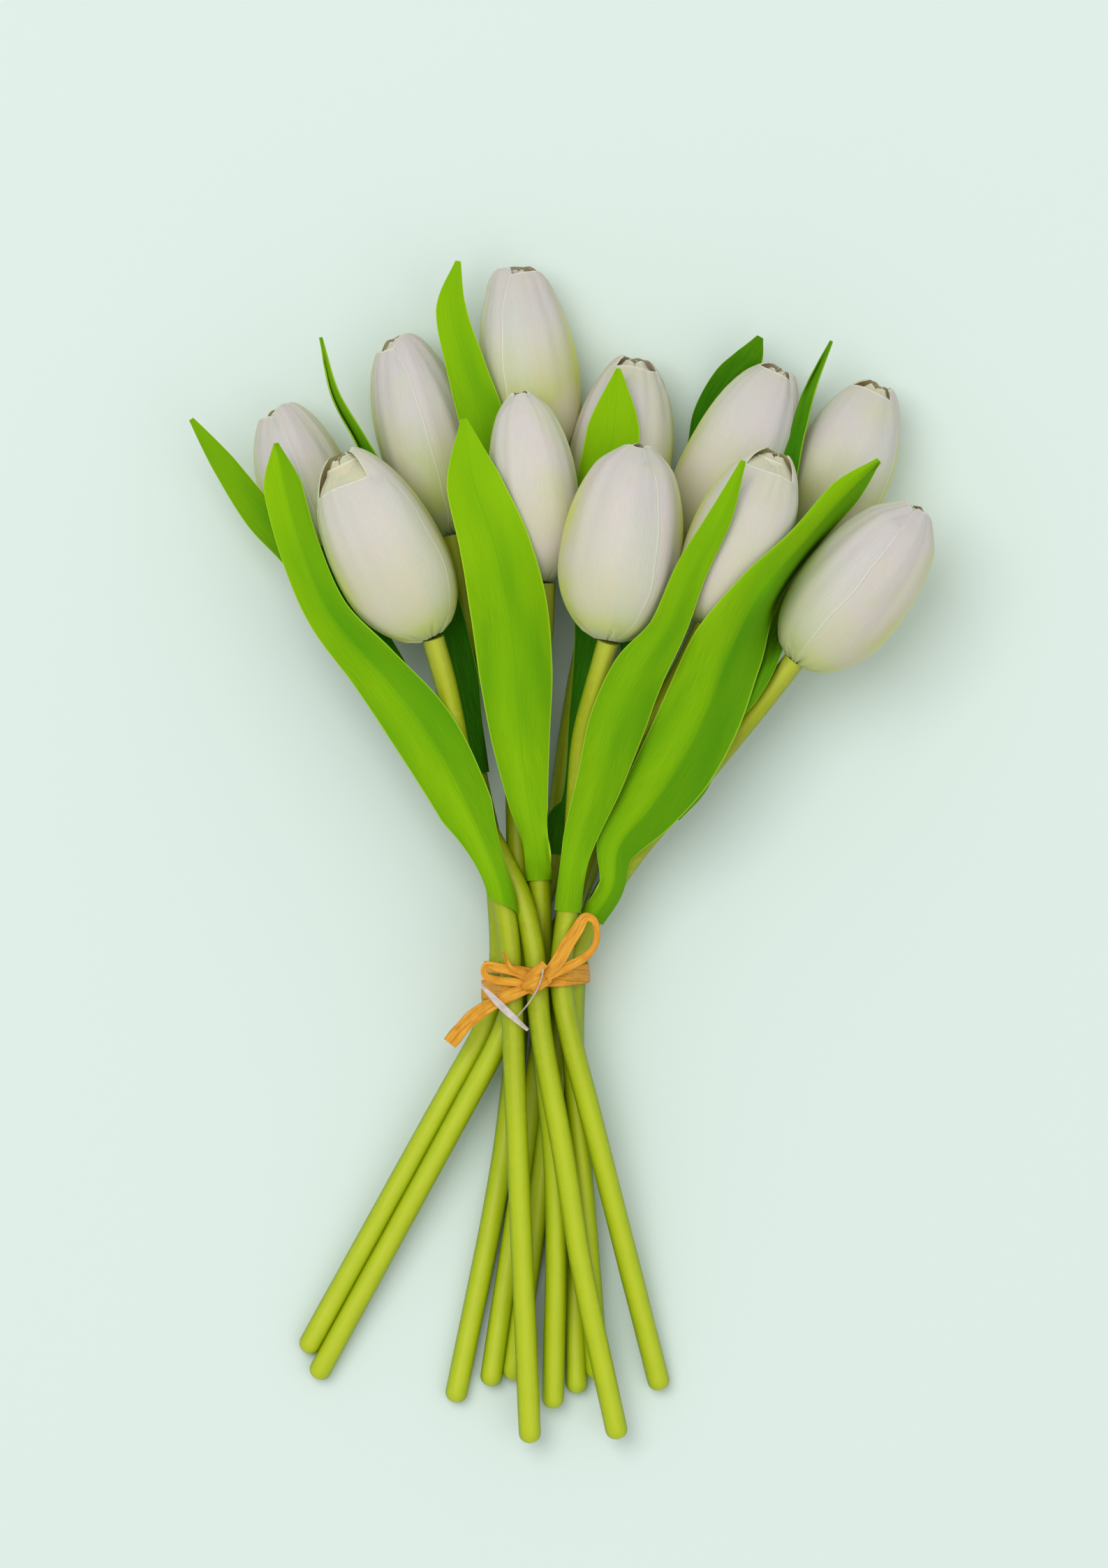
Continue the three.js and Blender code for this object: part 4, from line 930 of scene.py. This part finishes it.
def band(shape, routes, y, width, slope, lift, seed):
    """A strip drawn tight round all the stems at y, pinched under the knot."""
    reach = width / 2
    middle = np.mean([point_at(route, y)[0] for route in routes])
    centres = []
    for route in routes:
        local = y + slope * (point_at(route, y)[0] - middle)
        centres += [point_at(route, local + dy) for dy in (-reach, 0, reach)]
    centres = np.array(centres)
    angles = [2 * math.pi * k / BAND_SAMPLES for k in range(BAND_SAMPLES)]
    outline = []
    for angle in angles:
        out = np.array([math.cos(angle), 0, math.sin(angle)])
        outline.append(centres[np.argmax(centres @ out)] + out * (STEM_RADIUS + GAP + lift))
    outline = np.array(outline)
    smooth = outline.copy()
    for _ in range(BAND_SMOOTHING):
        smooth = 0.5 * smooth + 0.25 * (np.roll(smooth, 1, axis=0) + np.roll(smooth, -1, axis=0))
    front, back = [], []
    for k in range(BAND_SAMPLES + 1):
        angle = angles[k % BAND_SAMPLES]
        out = np.array([math.cos(angle), 0, math.sin(angle)])
        p = smooth[k % BAND_SAMPLES]
        near_knot = math.exp(-((p[0] - KNOT[0]) / PINCH_REACH) ** 2) if p[2] > PINCH_HEIGHT else 0
        pinch = 1 - PINCH * near_knot
        front_row, back_row = [], []
        for j in range(BAND_COLUMNS + 1):
            across = 2 * j / BAND_COLUMNS - 1
            crumple = 0.22 * wobble(across * 3.5 + seed, 2.5 * math.cos(angle), 2.5 * math.sin(angle))
            inner = p + out * (0.12 + max(0, crumple))
            inner[1] = y + slope * (p[0] - middle) + across * reach * pinch
            inner[2] = max(inner[2], BAND_LOWEST[1])
            outer = inner + out * BAND_THICKNESS
            outer[2] = max(outer[2], BAND_LOWEST[0])
            front_row.append(outer)
            back_row.append(inner)
        front.append(front_row)
        back.append(back_row)

    def cm(i, j):
        return (j / BAND_COLUMNS * width / 10 + seed, i / BAND_SAMPLES * BAND_GIRTH)

    shape.sheet(front, back, cm)


def add_raffia(routes, material):
    """Two turns round the stems, the loops and ends of the bow, and the wrap over its knot."""
    shape = Shape()
    band(shape, routes, TIE_Y - 1, 5.5, 0.16, 0, 1.0)
    band(shape, routes, TIE_Y + 1.5, 3.2, -0.1, 0.4, 4.0)
    strips = (
        ([KNOT, *BOW, KNOT], [1.6, 2.2, 2.6, 2.4, 2.0, 1.9, 2.0, 2.6, 3.5, 4.0, 3.8, 2.0], 2.0),
        ([KNOT, *LEFT_LOOP, KNOT], [1.6, 2.6, 2.6, 1.9, 1.7, 2.2, 2.4, 1.6], 5.0),
        ([KNOT, *TAIL], [2.2, 3.2, 3.6, 3.9, 4.2, 4.3, 4.2], 7.0),
        ([KNOT, *SPIKE], [1.8, 2.0, 1.4, 0.6], 9.0),
        ([KNOT, *SHORT_END], [2.0, 2.6, 2.4], 11.0),
    )
    for points, widths, seed in strips:
        strip(shape, points, widths, seed)
    strip(shape, WRAP, [3.6, 4.2, 4.6, 4.2, 3.6], 13.0, cup=-0.3)
    put(shape.build("raffia_strip", material), "raffia_tie")


def add_pin(material):
    """The bar of the tag pin and the thread that holds it."""
    shape = Shape()
    strip(shape, TAG_BAR, [0.9, 2.1, 0.9], 15.0, thickness=0.7, cup=0.1)
    strip(shape, TAG_THREAD, [0.45] * 5, 17.0, thickness=0.45, cup=0)
    put(shape.build("tag_pin_bar", material), "tag_pin")


# The object

front_petal = petal_material("petal_front", False, 0.25)
back_petal = petal_material("petal_back", False, 1.0)
inner_petal = petal_material("petal_inner", True, 0.3)
stem_paint = stem_material()
routes = [stem_route("stem_%02d" % (n + 1)) for n in range(len(BLOOMS))]
for n, bloom in enumerate(BLOOMS, 1):
    base_height = bloom[0][2]
    add_bloom(n, bloom, front_petal if base_height > FRONT_HEIGHT else back_petal, inner_petal)
    add_stem(n, routes[n - 1], stem_paint)
for n, leaf in enumerate(LEAVES, 1):
    add_leaf(n, leaf, routes[leaf[0]])
add_raffia(routes, raffia_material())
add_pin(pin_material())

# Stage, in metres

FLOOR_REACH = 4
SKY_LIGHT = 0.56
floor_paint = Paint("floor", Specular_IOR_Level=0.1, Roughness=0.9, Base_Color=srgb(222, 237, 230))
floor_mesh = bpy.data.meshes.new("floor")
floor_corners = [(x * FLOOR_REACH, y * FLOOR_REACH, 0) for x, y in ((-1, -1), (1, -1), (1, 1), (-1, 1))]
floor_mesh.from_pydata(floor_corners, [], [(0, 1, 2, 3)])
floor_mesh.materials.append(floor_paint.material)
floor = bpy.data.objects.new("floor", floor_mesh)
bpy.context.scene.collection.objects.link(floor)
floor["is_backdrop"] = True

world = bpy.data.worlds.new("studio")
world.use_nodes = True
sky = world.node_tree.nodes["Background"].inputs
sky["Color"].default_value = (1, 1, 1, 1)
sky["Strength"].default_value = SKY_LIGHT
bpy.context.scene.world = world


def add_light(name, place, size, watts):
    """A square light that looks at the origin."""
    data = bpy.data.lights.new(name, "AREA")
    data.size = size
    data.energy = watts
    light = bpy.data.objects.new(name, data)
    light.location = place
    light.rotation_euler = (-Vector(place)).to_track_quat("-Z", "Y").to_euler()
    bpy.context.scene.collection.objects.link(light)


add_light("key", place=(-1.2, 1.1, 3.8), size=2.8, watts=76)
add_light("fill", place=(1.8, -1.0, 3.4), size=3.2, watts=22)

boxes = {"cad": cad_box, "visual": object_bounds()}
{key: [list(corner) for corner in value] for key, value in boxes.items()}
